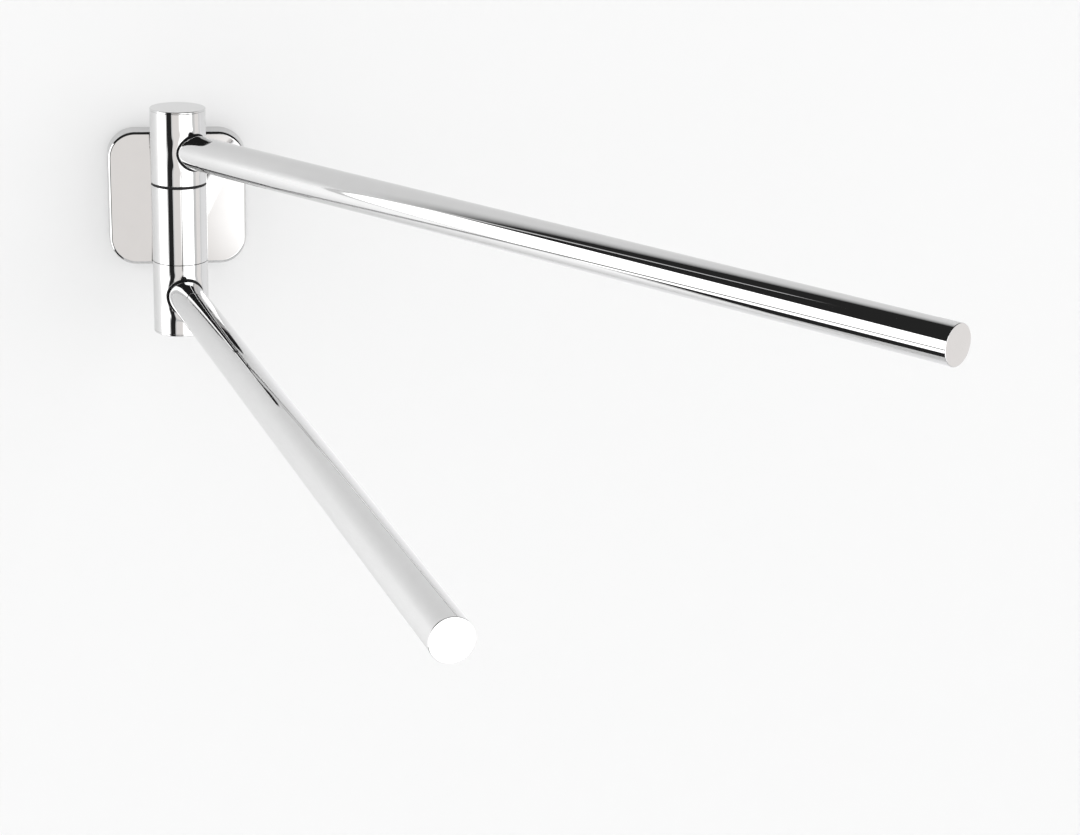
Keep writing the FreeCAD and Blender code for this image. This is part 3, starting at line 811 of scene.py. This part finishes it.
@dataclass
class Neck(SubAssembly):
    """Turned neck from the wall bracket to the middle segment."""

    radius: float = 12.0 * MM
    flange_radius: float = 21.7 * MM
    base: float = 3.0 * MM
    flange: float = 3.4 * MM
    chamber_radius: float = 8.0 * MM
    chamber_end: float = 31.0 * MM
    bore_radius: float = 5.5 * MM
    barrel_radius: float = 16.0 * MM

    def build(self) -> bpy.types.Object:
        """Make the neck, its front end fitted to the barrel."""
        axis = Extent.of("middle_barrel").centre
        front = -axis.y
        under_flange = self.base + self.flange
        section = [
            (self.chamber_radius, self.base),
            (self.flange_radius, self.base),
            (self.flange_radius, under_flange),
            (self.radius, under_flange),
            (self.radius, front),
            (self.bore_radius, front),
            (self.bore_radius, self.chamber_end),
            (self.chamber_radius, self.chamber_end),
        ]
        shape = turned(section, Matrix.Rotation(math.pi / 2.0, 4, "X"), closed=True)
        for point in shape.verts:
            if abs(point.co.y + front) < SMALL:
                point.co.y = -front + math.sqrt(self.barrel_radius ** 2 - point.co.x ** 2)
        made = make_object("neck_body", shape)
        set_true_normals(made, lathe_rule(Vector(), Y_AXIS))
        return self.finish_piece(made, "root", "chrome_plate", ["neck_tube"])


@dataclass
class MiddleSegment(SubAssembly):
    """Fixed middle segment of the barrel."""

    edge: float = 0.3 * MM
    lower_edge: float = 0.1 * MM
    bore_radius: float = 8.0 * MM
    screw_hole_radius: float = 2.02 * MM
    spigot_radius: float = 9.0 * MM

    def build(self) -> bpy.types.Object:
        """Make the segment, with the holes in its back."""
        box = Extent.of("middle_barrel")
        radius = (box.high.x - box.low.x) / 2.0
        place = Matrix.Translation(Vector((box.centre.x, box.centre.y, 0.0)))
        section = [(self.bore_radius, box.low.z)]
        lower, upper = self.lower_edge, self.edge
        section += arc((radius - lower, box.low.z + lower), lower, -90.0, 0.0)
        section += arc((radius - upper, box.high.z - upper), upper, 0.0, 90.0)
        section.append((self.bore_radius, box.high.z))
        shape = turned(section, place, closed=True)
        screws = Extent.of("pivot_grub_screws")
        heights = (screws.low.z + self.screw_hole_radius, screws.high.z - self.screw_hole_radius)
        drills = [self._drill(self.screw_hole_radius, box.centre.y, radius, height) for height in heights]
        drills.append(self._drill(self.spigot_radius, box.centre.y, radius, 0.0))
        made = make_object("middle_segment", drilled(shape, drills))
        set_true_normals(made, lathe_rule(box.centre, Z_AXIS))
        return self.finish_piece(made, "root", "chrome_plate", ["middle_barrel"])

    def _drill(self, radius: float, axis_y: float, length: float, height: float) -> BMesh:
        """Cutter from the axis to the back.

        Args:
            radius: the hole's radius.
            axis_y: the segment's axis along Y.
            length: the segment's radius.
            height: the hole's height.

        Returns:
            The cutter, along +Y.
        """
        place = Matrix.Translation(Vector((0.0, axis_y, height))) @ Matrix.Rotation(-math.pi / 2.0, 4, "X")
        return drill(radius, 0.0, length + MM, place)


# A face of the turning segment is outer wall where its normal leans outwards by more than this cosine.
WALL_LEAN = 0.9


@dataclass
class SwivelArm(SubAssembly):
    """One turning segment with its cap, its arm tube and the tip."""

    side: str = "upper"
    barrel_wall: float = 3.0 * MM
    barrel_edge: float = 0.3 * MM
    seat_edge: float = 0.1 * MM
    bush_radius: float = 9.55 * MM
    floor: float = 4.0 * MM
    hole_radius: float = 10.8 * MM
    hole_edge: float = 0.4 * MM
    lip_height: float = 0.13 * MM
    lip_crest: float = 2.0 * MM
    lip_spread: float = 2.2 * MM
    cap_lip: float = 1.2 * MM
    cap_edge: float = 0.6 * MM
    cap_under_edge: float = 0.2 * MM
    cap_skirt: float = 4.0 * MM
    cap_skirt_wall: float = 1.5 * MM
    cap_fit: float = 0.02 * MM
    arm_radius: float = 10.0 * MM
    arm_wall: float = 1.2 * MM
    arm_inner_end: float = 8.0 * MM
    tip_lip: float = 1.5 * MM
    tip_edge: float = 0.35 * MM
    tip_spigot: float = 10.0 * MM
    tip_fit: float = 0.05 * MM
    hole_points: int = 192
    hole_rings: tuple[float, ...] = (
        0.03, 0.08, 0.14, 0.2, 0.26, 0.32, 0.38, 0.44, 0.5, 0.58, 0.68, 0.84, 1.0
    )
    back_steps: int = 60
    cap_steps: int = 10
    cap_under_steps: int = 3
    wrap: float = math.radians(75.0)
    line: ArmLine = field(init=False)

    def build(self) -> None:
        """Make the four pieces of the arm."""
        self.line = ArmLine.read(self.side, self.arm_radius, self.tip_edge)
        self._segment()
        self._cap()
        self._tube()
        self._tip()

    @property
    def _body(self) -> str:
        """Name of the body that all of it rides on."""
        return f"{self.side}_arm"

    @property
    def _up(self) -> float:
        """Plus one where the cap is on top, minus one where it is underneath."""
        return 1.0 if self.line.root.z > 0.0 else -1.0

    def _ends(self) -> tuple[float, float, float]:
        """Seat and cap heights from the arm's axis, and the barrel's radius."""
        box = Extent.of(f"{self.side}_barrel")
        near, far = sorted((abs(box.low.z), abs(box.high.z)))
        middle = abs(self.line.root.z)
        return near - middle, far - middle, (box.high.x - box.low.x) / 2.0

    def _wrapped(self, radius: float, angle: float, height: float) -> Vector:
        """Point on a cylinder round the barrel's axis, +X being the arm's side."""
        return Vector((radius * math.cos(angle), radius * math.sin(angle), height))

    def _pierced(self, shape: BMesh, radius: float, low: float, high: float) -> dict[str, list[BMEdge]]:
        """Add a cylinder wall with a round hole for the arm.

        Args:
            shape: the mesh that takes the wall.
            radius: the cylinder's radius.
            low: its lower end.
            high: its upper end.

        Returns:
            The open edges round the hole, at the lower end and at the upper end.
        """
        count = self.hole_points
        quarter = count // 4
        rim = self.hole_radius
        hole, frame = [], []
        for index in range(count):
            turn = math.tau * (index - quarter / 2.0) / count
            side = index // quarter
            share = (index % quarter) / quarter
            hole.append((math.asin(rim * math.cos(turn) / radius), rim * math.sin(turn)))
            frame.append([
                (self.wrap, low + (high - low) * share),
                (self.wrap * (1.0 - 2.0 * share), high),
                (-self.wrap, high - (high - low) * share),
                (-self.wrap * (1.0 - 2.0 * share), low),
            ][side])
        start = set(shape.verts)
        ring = first_ring(shape, [self._wrapped(radius, a, h) for a, h in hole])
        hole_edges = [shape.edges.get((ring[i - 1], ring[i])) for i in range(count)]
        for share in self.hole_rings:
            places = []
            for (a, h), (b, k) in zip(hole, frame):
                places.append(self._wrapped(radius, a + (b - a) * share, h + (k - h) * share))
            ring = grow_ring(shape, ring, places)
        right = ring[:quarter + 1]
        edges = [shape.edges.get(pair) for pair in zip(right, right[1:])]
        bmesh.ops.spin(
            shape, geom=right + edges, cent=(0, 0, 0), axis=Z_AXIS,
            angle=math.tau - 2.0 * self.wrap, steps=self.back_steps, use_merge=False,
        )
        fresh = [point for point in shape.verts if point not in start]
        bmesh.ops.remove_doubles(shape, verts=fresh, dist=4.0 * WELD)
        found: dict[str, list[BMEdge]] = {"hole": hole_edges, "low": [], "high": []}
        for edge in shape.edges:
            a, b = edge.verts
            if not edge.is_boundary or a in start or abs(a.co.xy.length - radius) > SMALL:
                continue
            for name, height in (("low", low), ("high", high)):
                if max(abs(a.co.z - height), abs(b.co.z - height)) < TINY:
                    found[name].append(edge)
        return found

    def _grow_edges(
        self, shape: BMesh, edges: Sequence[BMEdge], move: Callable[[Vector], Vector]
    ) -> list[BMEdge]:
        """Extrude open edges and move the copies.

        Args:
            shape: the mesh.
            edges: the open edges.
            move: gives each copied point its new place.

        Returns:
            The copied edges.
        """
        grown = bmesh.ops.extrude_edge_only(shape, edges=edges)["geom"]
        for item in grown:
            if isinstance(item, BMVert):
                item.co = move(item.co)
        return [item for item in grown if isinstance(item, BMEdge) and item.is_boundary]

    def _segment(self) -> None:
        """Make the turning segment: a cup with a floor and a hole for the arm."""
        seat, top, radius = self._ends()
        edge = self.barrel_edge
        seat_edge = self.seat_edge if self._up < 0.0 else edge
        bore = radius - self.barrel_wall
        shape = bmesh.new()
        outside = self._pierced(shape, radius, seat + seat_edge, top - edge)
        self._draw_lip(shape, radius)
        inside = self._pierced(shape, bore, seat + self.floor, top)

        def ring_to(new_radius: float, height: float) -> Callable[[Vector], Vector]:
            """Move a point to another radius and height."""
            return lambda co: Vector((*(co.xy.normalized() * new_radius), height))

        upper_edges, lower_edges = outside["high"], outside["low"]
        for x, y in arc((radius - edge, 0.0), edge, 0.0, 90.0)[1:]:
            upper_edges = self._grow_edges(shape, upper_edges, ring_to(x, top - edge + y))
        for x, y in arc((radius - seat_edge, 0.0), seat_edge, 0.0, 90.0)[1:]:
            lower_edges = self._grow_edges(shape, lower_edges, ring_to(x, seat + seat_edge - y))
        lower_edges = self._grow_edges(shape, lower_edges, ring_to(self.bush_radius, seat))
        lower_edges = self._grow_edges(shape, lower_edges, ring_to(self.bush_radius, seat + self.floor))
        bmesh.ops.bridge_loops(shape, edges=upper_edges + inside["high"])
        bmesh.ops.bridge_loops(shape, edges=lower_edges + inside["low"])
        self._round_hole(shape, outside["hole"], inside["hole"], radius)
        bmesh.ops.remove_doubles(shape, verts=shape.verts, dist=WELD)
        bmesh.ops.recalc_face_normals(shape, faces=shape.faces)
        self._place(shape)
        made = make_object(f"{self.side}_segment", shape)
        set_true_normals(made, self._lip_rule(radius))
        self.finish_piece(made, self._body, "chrome_plate", [f"{self.side}_barrel"])

    def _from_rim(self, spot: Vector, radius: float) -> tuple[float, float, float]:
        """Measure a spot of the outer wall from the arm hole's rim, on the unrolled wall.

        Args:
            spot: a place in the arm's own axes.
            radius: the barrel's outer radius.

        Returns:
            The distance from the rim, and the unit direction away from the hole, round and up.
        """
        across = radius * math.atan2(spot.y, spot.x)
        away = math.hypot(across, spot.z)
        cosine, sine = across / away, spot.z / away
        side_rim = radius * math.asin(self.hole_radius / radius)
        return away - side_rim * cosine ** 2 - self.hole_radius * sine ** 2, cosine, sine

    def _draw_lip(self, shape: BMesh, radius: float) -> None:
        """Raise the low, soft lip that drawing and buffing leave round the arm hole."""
        for point in shape.verts:
            distance, _, _ = self._from_rim(point.co, radius)
            rise = self.lip_height * math.exp(-((distance - self.lip_crest) / self.lip_spread) ** 2)
            point.co.xy = point.co.xy.normalized() * (radius + rise)

    def _lip_rule(self, radius: float) -> NormalRule:
        """Normals of the turned segment with the lip round its hole.

        Args:
            radius: the barrel's outer radius.

        Returns:
            The rule for the segment's corners.
        """
        plain = lathe_rule(self.line.root, Z_AXIS)
        to_arm = self.line.frame.inverted()

        def rule(place: Vector, middle: Vector, flat: Vector) -> Vector:
            """Lean the outer wall's normal by the lip's slope."""
            spot = to_arm @ place
            out = place - self.line.root
            out.z = 0.0
            out.normalize()
            from_axis = (middle - self.line.root).xy.normalized().to_3d()
            if flat.dot(from_axis) <= WALL_LEAN or spot.xy.length < radius - TINY:
                return plain(place, middle, flat)
            distance, cosine, sine = self._from_rim(spot, radius)
            from_crest = (distance - self.lip_crest) / self.lip_spread
            lean = 2.0 * from_crest * self.lip_height / self.lip_spread * math.exp(-from_crest ** 2)
            round_about = Z_AXIS.cross(out)
            return (out + (round_about * cosine + Z_AXIS * sine) * lean).normalized()

        return rule

    def _round_hole(
        self, shape: BMesh, outer: Sequence[BMEdge], inner: Sequence[BMEdge], radius: float
    ) -> None:
        """Soften the arm hole's rim and join it to the bore.

        Args:
            shape: the mesh.
            outer: the hole's edges in the outer wall.
            inner: the hole's edges in the bore.
            radius: the barrel's outer radius.
        """
        rim = {point for edge in outer for point in edge.verts}
        for point in rim:
            spread = 1.0 + self.hole_edge / self.hole_radius
            y, z = point.co.y * spread, point.co.z * spread
            point.co = Vector((math.sqrt(radius ** 2 - y ** 2), y, z))
        edges = list(outer)

        def onto_rim(share: float) -> Callable[[Vector], Vector]:
            """Place a point on the rim's curve, from the surface into the hole."""

            def move(co: Vector) -> Vector:
                """Follow a curve that is tangent to the surface and to the hole."""
                flat = Vector((0.0, co.y, co.z)).normalized()
                outer_radius = self.hole_radius + self.hole_edge
                start = self._on_barrel(flat * outer_radius, radius)
                corner = self._on_barrel(flat * self.hole_radius, radius)
                end = corner - X_AXIS * self.hole_edge
                return start.lerp(corner, share).lerp(corner.lerp(end, share), share)

            return move

        for index in range(1, EDGE_STEPS + 1):
            edges = self._grow_edges(shape, edges, onto_rim(index / EDGE_STEPS))
        bmesh.ops.bridge_loops(shape, edges=edges + list(inner))

    def _on_barrel(self, spot: Vector, radius: float) -> Vector:
        """Move a spot along the arm onto the barrel's surface."""
        return Vector((math.sqrt(radius ** 2 - spot.y ** 2), spot.y, spot.z))

    def _place(self, shape: BMesh) -> None:
        """Move a shape from the arm's own axes to the room, upside down for the lower arm."""
        if self._up < 0.0:
            bmesh.ops.scale(shape, vec=(1.0, 1.0, -1.0), verts=shape.verts)
            bmesh.ops.reverse_faces(shape, faces=shape.faces)
        bmesh.ops.transform(shape, matrix=self.line.frame, verts=shape.verts)

    def _cap(self) -> None:
        """Make the flat end cap with its soft rim and skirt."""
        _, base, radius = self._ends()
        skirt = radius - self.barrel_wall - self.cap_fit
        top = base + self.cap_lip
        edge, under = self.cap_edge, self.cap_under_edge
        section = [(0.0, top)]
        section += reversed(arc((radius - edge, top - edge), edge, 0.0, 90.0, self.cap_steps))
        section += reversed(arc((radius - under, base + under), under, -90.0, 0.0, self.cap_under_steps))
        section += [(skirt, base), (skirt, base - self.cap_skirt)]
        section += [(skirt - self.cap_skirt_wall, base - self.cap_skirt), (skirt - self.cap_skirt_wall, base)]
        section.append((0.0, base))
        shape = turned(section, Matrix.Identity(4), closed=False)
        self._place(shape)
        made = make_object(f"{self.side}_end_cap", shape)
        set_true_normals(made, lathe_rule(self.line.root, Z_AXIS))
        self.finish_piece(made, self._body, "chrome_plate", [f"{self.side}_cap"])

    def _along_arm(self) -> Matrix:
        """Matrix that lays a lathe's Z axis along the arm."""
        return self.line.frame @ Matrix.Rotation(math.pi / 2.0, 4, "Y")

    def _tube(self) -> None:
        """Make the arm's tube."""
        end = self.line.reach - self.tip_lip
        inner = self.arm_radius - self.arm_wall
        section = [(inner, -self.arm_inner_end), (self.arm_radius, -self.arm_inner_end)]
        section += [(self.arm_radius, end), (inner, end)]
        made = make_object(f"{self.side}_arm_tube_polished", turned(section, self._along_arm(), closed=True))
        set_true_normals(made, lathe_rule(self.line.root, self.line.direction))
        self.finish_piece(made, self._body, "chrome_plate", [f"{self.side}_arm_tube"])

    def _tip(self) -> None:
        """Make the plug that closes the arm, flush with the tube."""
        end = self.line.reach
        lip = end - self.tip_lip
        spigot = self.arm_radius - self.arm_wall - self.tip_fit
        edge = self.tip_edge
        section = [(0.0, end)]
        section += reversed(arc((self.arm_radius - edge, end - edge), edge, 0.0, 90.0))
        section += [(self.arm_radius, lip), (spigot, lip), (spigot, lip - self.tip_spigot)]
        section.append((0.0, lip - self.tip_spigot))
        made = make_object(f"{self.side}_arm_tip", turned(section, self._along_arm(), closed=False))
        set_true_normals(made, lathe_rule(self.line.root, self.line.direction))
        self.finish_piece(made, self._body, "chrome_plate", [f"{self.side}_tip_plug"])


# ---------------------------------------------------------------- studio


class Tone(Enum):
    """Light given off by the studio's cards."""

    SOFTBOX = (2.6, 2.6, 2.6)
    LEFT_WALL_PAINTED_LIGHT = (1.5, 1.5, 1.5)
    RIGHT_WALL_PAINTED_LIGHT = (1.1, 1.1, 1.11)
    SIDE_PANEL = (1.16, 1.12, 1.1)
    BACKDROP = (1.12, 1.08, 1.055)
    FRAME = (0.88, 0.88, 0.88)
    FLAG_AND_PAINTED_SHADE = (0.028, 0.028, 0.028)


@dataclass(frozen=True)
class Fade:
    """How a card comes in along one axis."""

    axis: str
    clear: float
    full: float
    power: float = 1.0


@dataclass(frozen=True)
class Card:
    """A flat card that only mirror-like surfaces see."""

    name: str
    tone: Tone
    corners: Corners
    fades: tuple[Fade, ...] = ()


def upright(x: Span, y: Span, z: Span) -> Corners:
    """Corners of an upright card.

    Args:
        x: the card's place along X at its two ends.
        y: the card's place along Y at the same ends.
        z: its lower and upper edge.

    Returns:
        The four corners in turn.
    """
    return ((x[0], y[0], z[0]), (x[1], y[1], z[0]), (x[1], y[1], z[1]), (x[0], y[0], z[1]))


def level(x: Span, y: Span, z: float) -> Corners:
    """Corners of a level card.

    Args:
        x: its two ends along X.
        y: its two ends along Y.
        z: its height.

    Returns:
        The four corners in turn.
    """
    return ((x[0], y[0], z), (x[1], y[0], z), (x[1], y[1], z), (x[0], y[1], z))


# Just in front of the wall. The cards here paint the wall's light and shade as the mirror surfaces see it.
BY_WALL = (0.0002, 0.0002)
STUDIO_CARDS: tuple[Card, ...] = (
    Card("left_softbox", Tone.SOFTBOX, upright((-1.15, -1.15), (-0.02, -0.97), (-0.94, 0.55))),
    Card(
        "right_softbox", Tone.SOFTBOX, upright((0.04, 1.6), (-1.8, -1.0), (-1.3, 0.45)),
        (Fade("X", 0.055, 0.28, 1.1),),
    ),
    Card("softbox_frame", Tone.FRAME, upright((1.6, 1.62), (-1.0, -0.59), (-1.3, 0.45))),
    Card("side_panel", Tone.SIDE_PANEL, upright((1.62, 1.62), (-0.59, -0.02), (-1.3, 0.45))),
    Card("backdrop", Tone.BACKDROP, upright((-1.0, 0.9), (-2.4, -2.4), (-1.6, 0.3))),
    # Painted light: the left lamp's spill on the wall, seen only in reflections, brighter towards the far
    # left.
    Card(
        "left_wall_painted_spill", Tone.LEFT_WALL_PAINTED_LIGHT, upright((-1.15, -0.04), BY_WALL, (-0.94, 0.34)),
        (Fade("X", -0.045, -0.65, 0.7), Fade("Z", 0.34, 0.0)),
    ),
    # Painted light: the lit wall right of the cover, seen only in reflections, fading in from the cover.
    Card(
        "right_wall_painted_light", Tone.RIGHT_WALL_PAINTED_LIGHT, upright((0.042, 0.5), BY_WALL, (-0.94, 0.1)),
        (Fade("X", 0.03, 0.1), Fade("Z", 0.1, 0.0)),
    ),
    # Painted shade: a dimmer strip of the wall between the two brighter painted patches, seen only in
    # reflections.
    Card("wall_dim_painted_light", Tone.FRAME, upright((0.5, 0.85), BY_WALL, (-0.94, 0.4))),
    # Painted light: the lit far right of the wall, seen only in reflections.
    Card("far_wall_painted_light", Tone.RIGHT_WALL_PAINTED_LIGHT, upright((0.85, 1.62), BY_WALL, (-0.94, 0.4))),
    Card("front_left_flag", Tone.FLAG_AND_PAINTED_SHADE, upright((-1.05, -0.66), (-1.05, -1.36), (-0.9, 1.5))),
    Card("upper_front_flag", Tone.FLAG_AND_PAINTED_SHADE, upright((-3.0, 3.0), (-2.5, -2.5), (0.25, 1.6))),
    Card("upper_left_flag", Tone.FLAG_AND_PAINTED_SHADE, upright((-1.16, -1.16), (-0.04, -2.5), (0.55, 1.6))),
    # Painted shade: the upper wall darkens upwards in the reflections, fading in from 0.4 m to 0.74 m high.
    Card(
        "upper_wall_painted_shade", Tone.FLAG_AND_PAINTED_SHADE, upright((-1.15, 1.9), (-0.005, -0.005), (0.4, 1.6)),
        (Fade("X", -1.15, -1.0), Fade("Z", 0.4, 0.74, 1.6)),
    ),
    Card("upper_right_flag", Tone.FLAG_AND_PAINTED_SHADE, upright((1.91, 1.91), (-2.5, -0.01), (0.5, 1.6))),
    Card("ceiling_flag", Tone.FLAG_AND_PAINTED_SHADE, level((-3.0, 3.0), (-2.5, 0.0), 1.6)),
    # A dark patch lying on the floor at the left, seen only in reflections.
    Card("floor_left_dark_patch", Tone.FLAG_AND_PAINTED_SHADE, level((-1.1, -0.45), (-1.5, -0.05), -0.94)),
)


@dataclass
class Studio:
    """White wall, pale floor, soft light and the camera."""

    wall_tone: str = "e8e8e8"
    room_strength: float = 0.86
    lamp_spread: float = math.radians(40.0)
    key_strength: float = 0.42
    key_side: Vector = field(default_factory=lambda: Vector((0.8, -1.0, 0.3)))
    fill_strength: float = 0.85
    fill_side: Vector = field(default_factory=lambda: Vector((-0.2, -1.0, 0.3)))
    wall_left: float = -1.15
    wall_right: float = 1.9
    wall_top: float = 0.75
    wall_place: float = 0.0004
    wall_opening: float = 0.036
    floor_height: float = -0.95
    floor_x: Span = (-2.15, 2.4)
    floor_y: Span = (-3.0, 0.0)
    cards: tuple[Card, ...] = STUDIO_CARDS
    sensor_width: float = 36.0
    focal_length: float = 81.638
    yaw: float = 0.170421
    pitch: float = 0.318053
    roll: float = 0.027628
    camera_place: Vector = field(default_factory=lambda: Vector((-25.5873, -1468.1227, 341.501)) * MM)

    def build(self) -> None:
        """Make the wall, the floor, the cards, the light and the camera."""
        paper = self._paper()
        behind = (self.wall_place, self.wall_place)
        full_height = (self.floor_height, self.wall_top)
        gap = self.wall_opening
        sheets = {
            "studio_wall_left": upright((self.wall_left, -gap), behind, full_height),
            "studio_wall_right": upright((gap, self.wall_right), behind, full_height),
            "studio_wall_above": upright((-gap, gap), behind, (gap, self.wall_top)),
            "studio_wall_below": upright((-gap, gap), behind, (self.floor_height, -gap)),
            "studio_floor": level(self.floor_x, self.floor_y, self.floor_height),
        }
        for name, corners in sheets.items():
            self._sheet(name, corners, paper).visible_shadow = False
        for card in self.cards:
            made = self._sheet(card.name, card.corners, self._glow(card))
            made.visible_camera = False
            made.visible_diffuse = False
            made.visible_shadow = False
        self._light()
        self._camera()

    def _sheet(self, name: str, corners: Corners, material: bpy.types.Material) -> bpy.types.Object:
        """Make one flat stage piece.

        Args:
            name: the piece's name.
            corners: its corners in turn.
            material: its material.

        Returns:
            The staged object.
        """
        shape = bmesh.new()
        points = [shape.verts.new(corner) for corner in corners]
        face = bmesh.ops.contextual_create(shape, geom=points)["faces"][0]
        face.normal_update()
        if face.normal.dot((points[1].co - points[0].co).cross(points[2].co - points[1].co)) < 0.0:
            bmesh.ops.reverse_faces(shape, faces=[face])
        made = make_object(name, shape, smooth=False)
        made.data.materials.append(material)
        log.info("staged %s", name)
        return made

    def _paper(self) -> bpy.types.Material:
        """Make the matt white of the wall and floor, open from behind."""
        material, tree = new_material("studio_matt_white")
        matt = add_node(tree, "ShaderNodeBsdfDiffuse", {"Color": linear(self.wall_tone)})
        clear = add_node(tree, "ShaderNodeBsdfTransparent", {})
        back = add_node(tree, "ShaderNodeNewGeometry", {}).outputs["Backfacing"]
        mixed = add_node(tree, "ShaderNodeMixShader", {0: back, 1: matt.outputs[0], 2: clear.outputs[0]})
        add_node(tree, "ShaderNodeOutputMaterial", {"Surface": mixed.outputs[0]})
        return material

    def _ramp(self, tree: bpy.types.NodeTree, fade: Fade) -> bpy.types.NodeSocket:
        """Make a smooth change along one axis of the room.

        Args:
            tree: the material's node tree.
            fade: the axis and the places where the change starts and ends.

        Returns:
            The output socket, from zero to one.
        """
        place = add_node(tree, "ShaderNodeTexCoord", {}).outputs["Object"]
        split = add_node(tree, "ShaderNodeSeparateXYZ", {"Vector": place})
        span = {"Value": split.outputs[fade.axis], "From Min": fade.clear, "From Max": fade.full}
        share = add_node(tree, "ShaderNodeMapRange", span).outputs["Result"]
        return add_node(tree, "ShaderNodeMath", {0: share, 1: fade.power}, operation="POWER").outputs[0]

    def _glow(self, card: Card) -> bpy.types.Material:
        """Make the glow of a card, clear where it fades out."""
        material, tree = new_material(f"studio_{card.name}")
        light = {"Color": (*card.tone.value, 1.0), "Strength": 1.0}
        glow = add_node(tree, "ShaderNodeEmission", light).outputs[0]
        for fade in card.fades:
            clear = add_node(tree, "ShaderNodeBsdfTransparent", {}).outputs[0]
            share = self._ramp(tree, fade)
            glow = add_node(tree, "ShaderNodeMixShader", {0: share, 1: clear, 2: glow}).outputs[0]
        add_node(tree, "ShaderNodeOutputMaterial", {"Surface": glow})
        return material

    def _light(self) -> None:
        """Fill the room with even light, with a soft lamp that gives the shadows and one that fills."""
        world = bpy.data.worlds.new("studio_room")
        world.use_nodes = True
        background = world.node_tree.nodes["Background"]
        background.inputs["Color"].default_value = (1.0, 1.0, 1.0, 1.0)
        background.inputs["Strength"].default_value = self.room_strength
        bpy.context.scene.world = world
        self._lamp("studio_key_lamp", self.key_strength, self.key_side, shadow=True)
        self._lamp("studio_fill_lamp", self.fill_strength, self.fill_side, shadow=False)
        bpy.context.scene.view_settings.view_transform = "Standard"

    def _lamp(self, name: str, strength: float, side: Vector, shadow: bool) -> None:
        """Add one soft lamp that mirror surfaces don't show.

        Args:
            name: the lamp's name.
            strength: its light on a surface that faces it.
            side: direction from the object to the lamp.
            shadow: True where the object throws a shadow from it.
        """
        bulb = bpy.data.lights.new(name, "SUN")
        bulb.angle = self.lamp_spread
        bulb.energy = strength
        bulb.use_shadow = shadow
        lamp = bpy.data.objects.new(name, bulb)
        lamp.matrix_world = side.to_track_quat("Z", "Y").to_matrix().to_4x4()
        lamp.visible_glossy = False
        lamp.visible_camera = False
        bpy.context.scene.collection.objects.link(lamp)

    def _camera(self) -> None:
        """Place the camera at the photo's angle."""
        lens = bpy.data.cameras.new("studio_camera")
        lens.sensor_width = self.sensor_width
        lens.lens = self.focal_length
        across, ahead = math.sin(self.yaw), math.cos(self.yaw)
        flat = math.cos(self.pitch)
        forward = Vector((across * flat, ahead * flat, -math.sin(self.pitch)))
        right = Vector((ahead, -across, 0.0))
        up = right.cross(forward)
        level_right = right * math.cos(self.roll) + up * math.sin(self.roll)
        level_up = up * math.cos(self.roll) - right * math.sin(self.roll)
        turn = Matrix((level_right, level_up, -forward)).transposed()
        camera = bpy.data.objects.new("studio_camera", lens)
        camera.matrix_world = Matrix.Translation(self.camera_place) @ turn.to_4x4()
        bpy.context.scene.collection.objects.link(camera)
        bpy.context.scene.camera = camera


def main() -> None:
    """Build the towel warmer and its studio, in order."""
    logging.basicConfig(level=logging.INFO, format="%(message)s")
    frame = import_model()
    paint = Paintbox()
    paint.dress_nodes(frame["nodes"], frame["record"]["subparts"])
    CoverPlate(paint).build()
    Neck(paint).build()
    MiddleSegment(paint).build()
    for side in ("upper", "lower"):
        SwivelArm(paint, side=side).build()
    Studio().build()


if __name__ == "__main__":
    main()
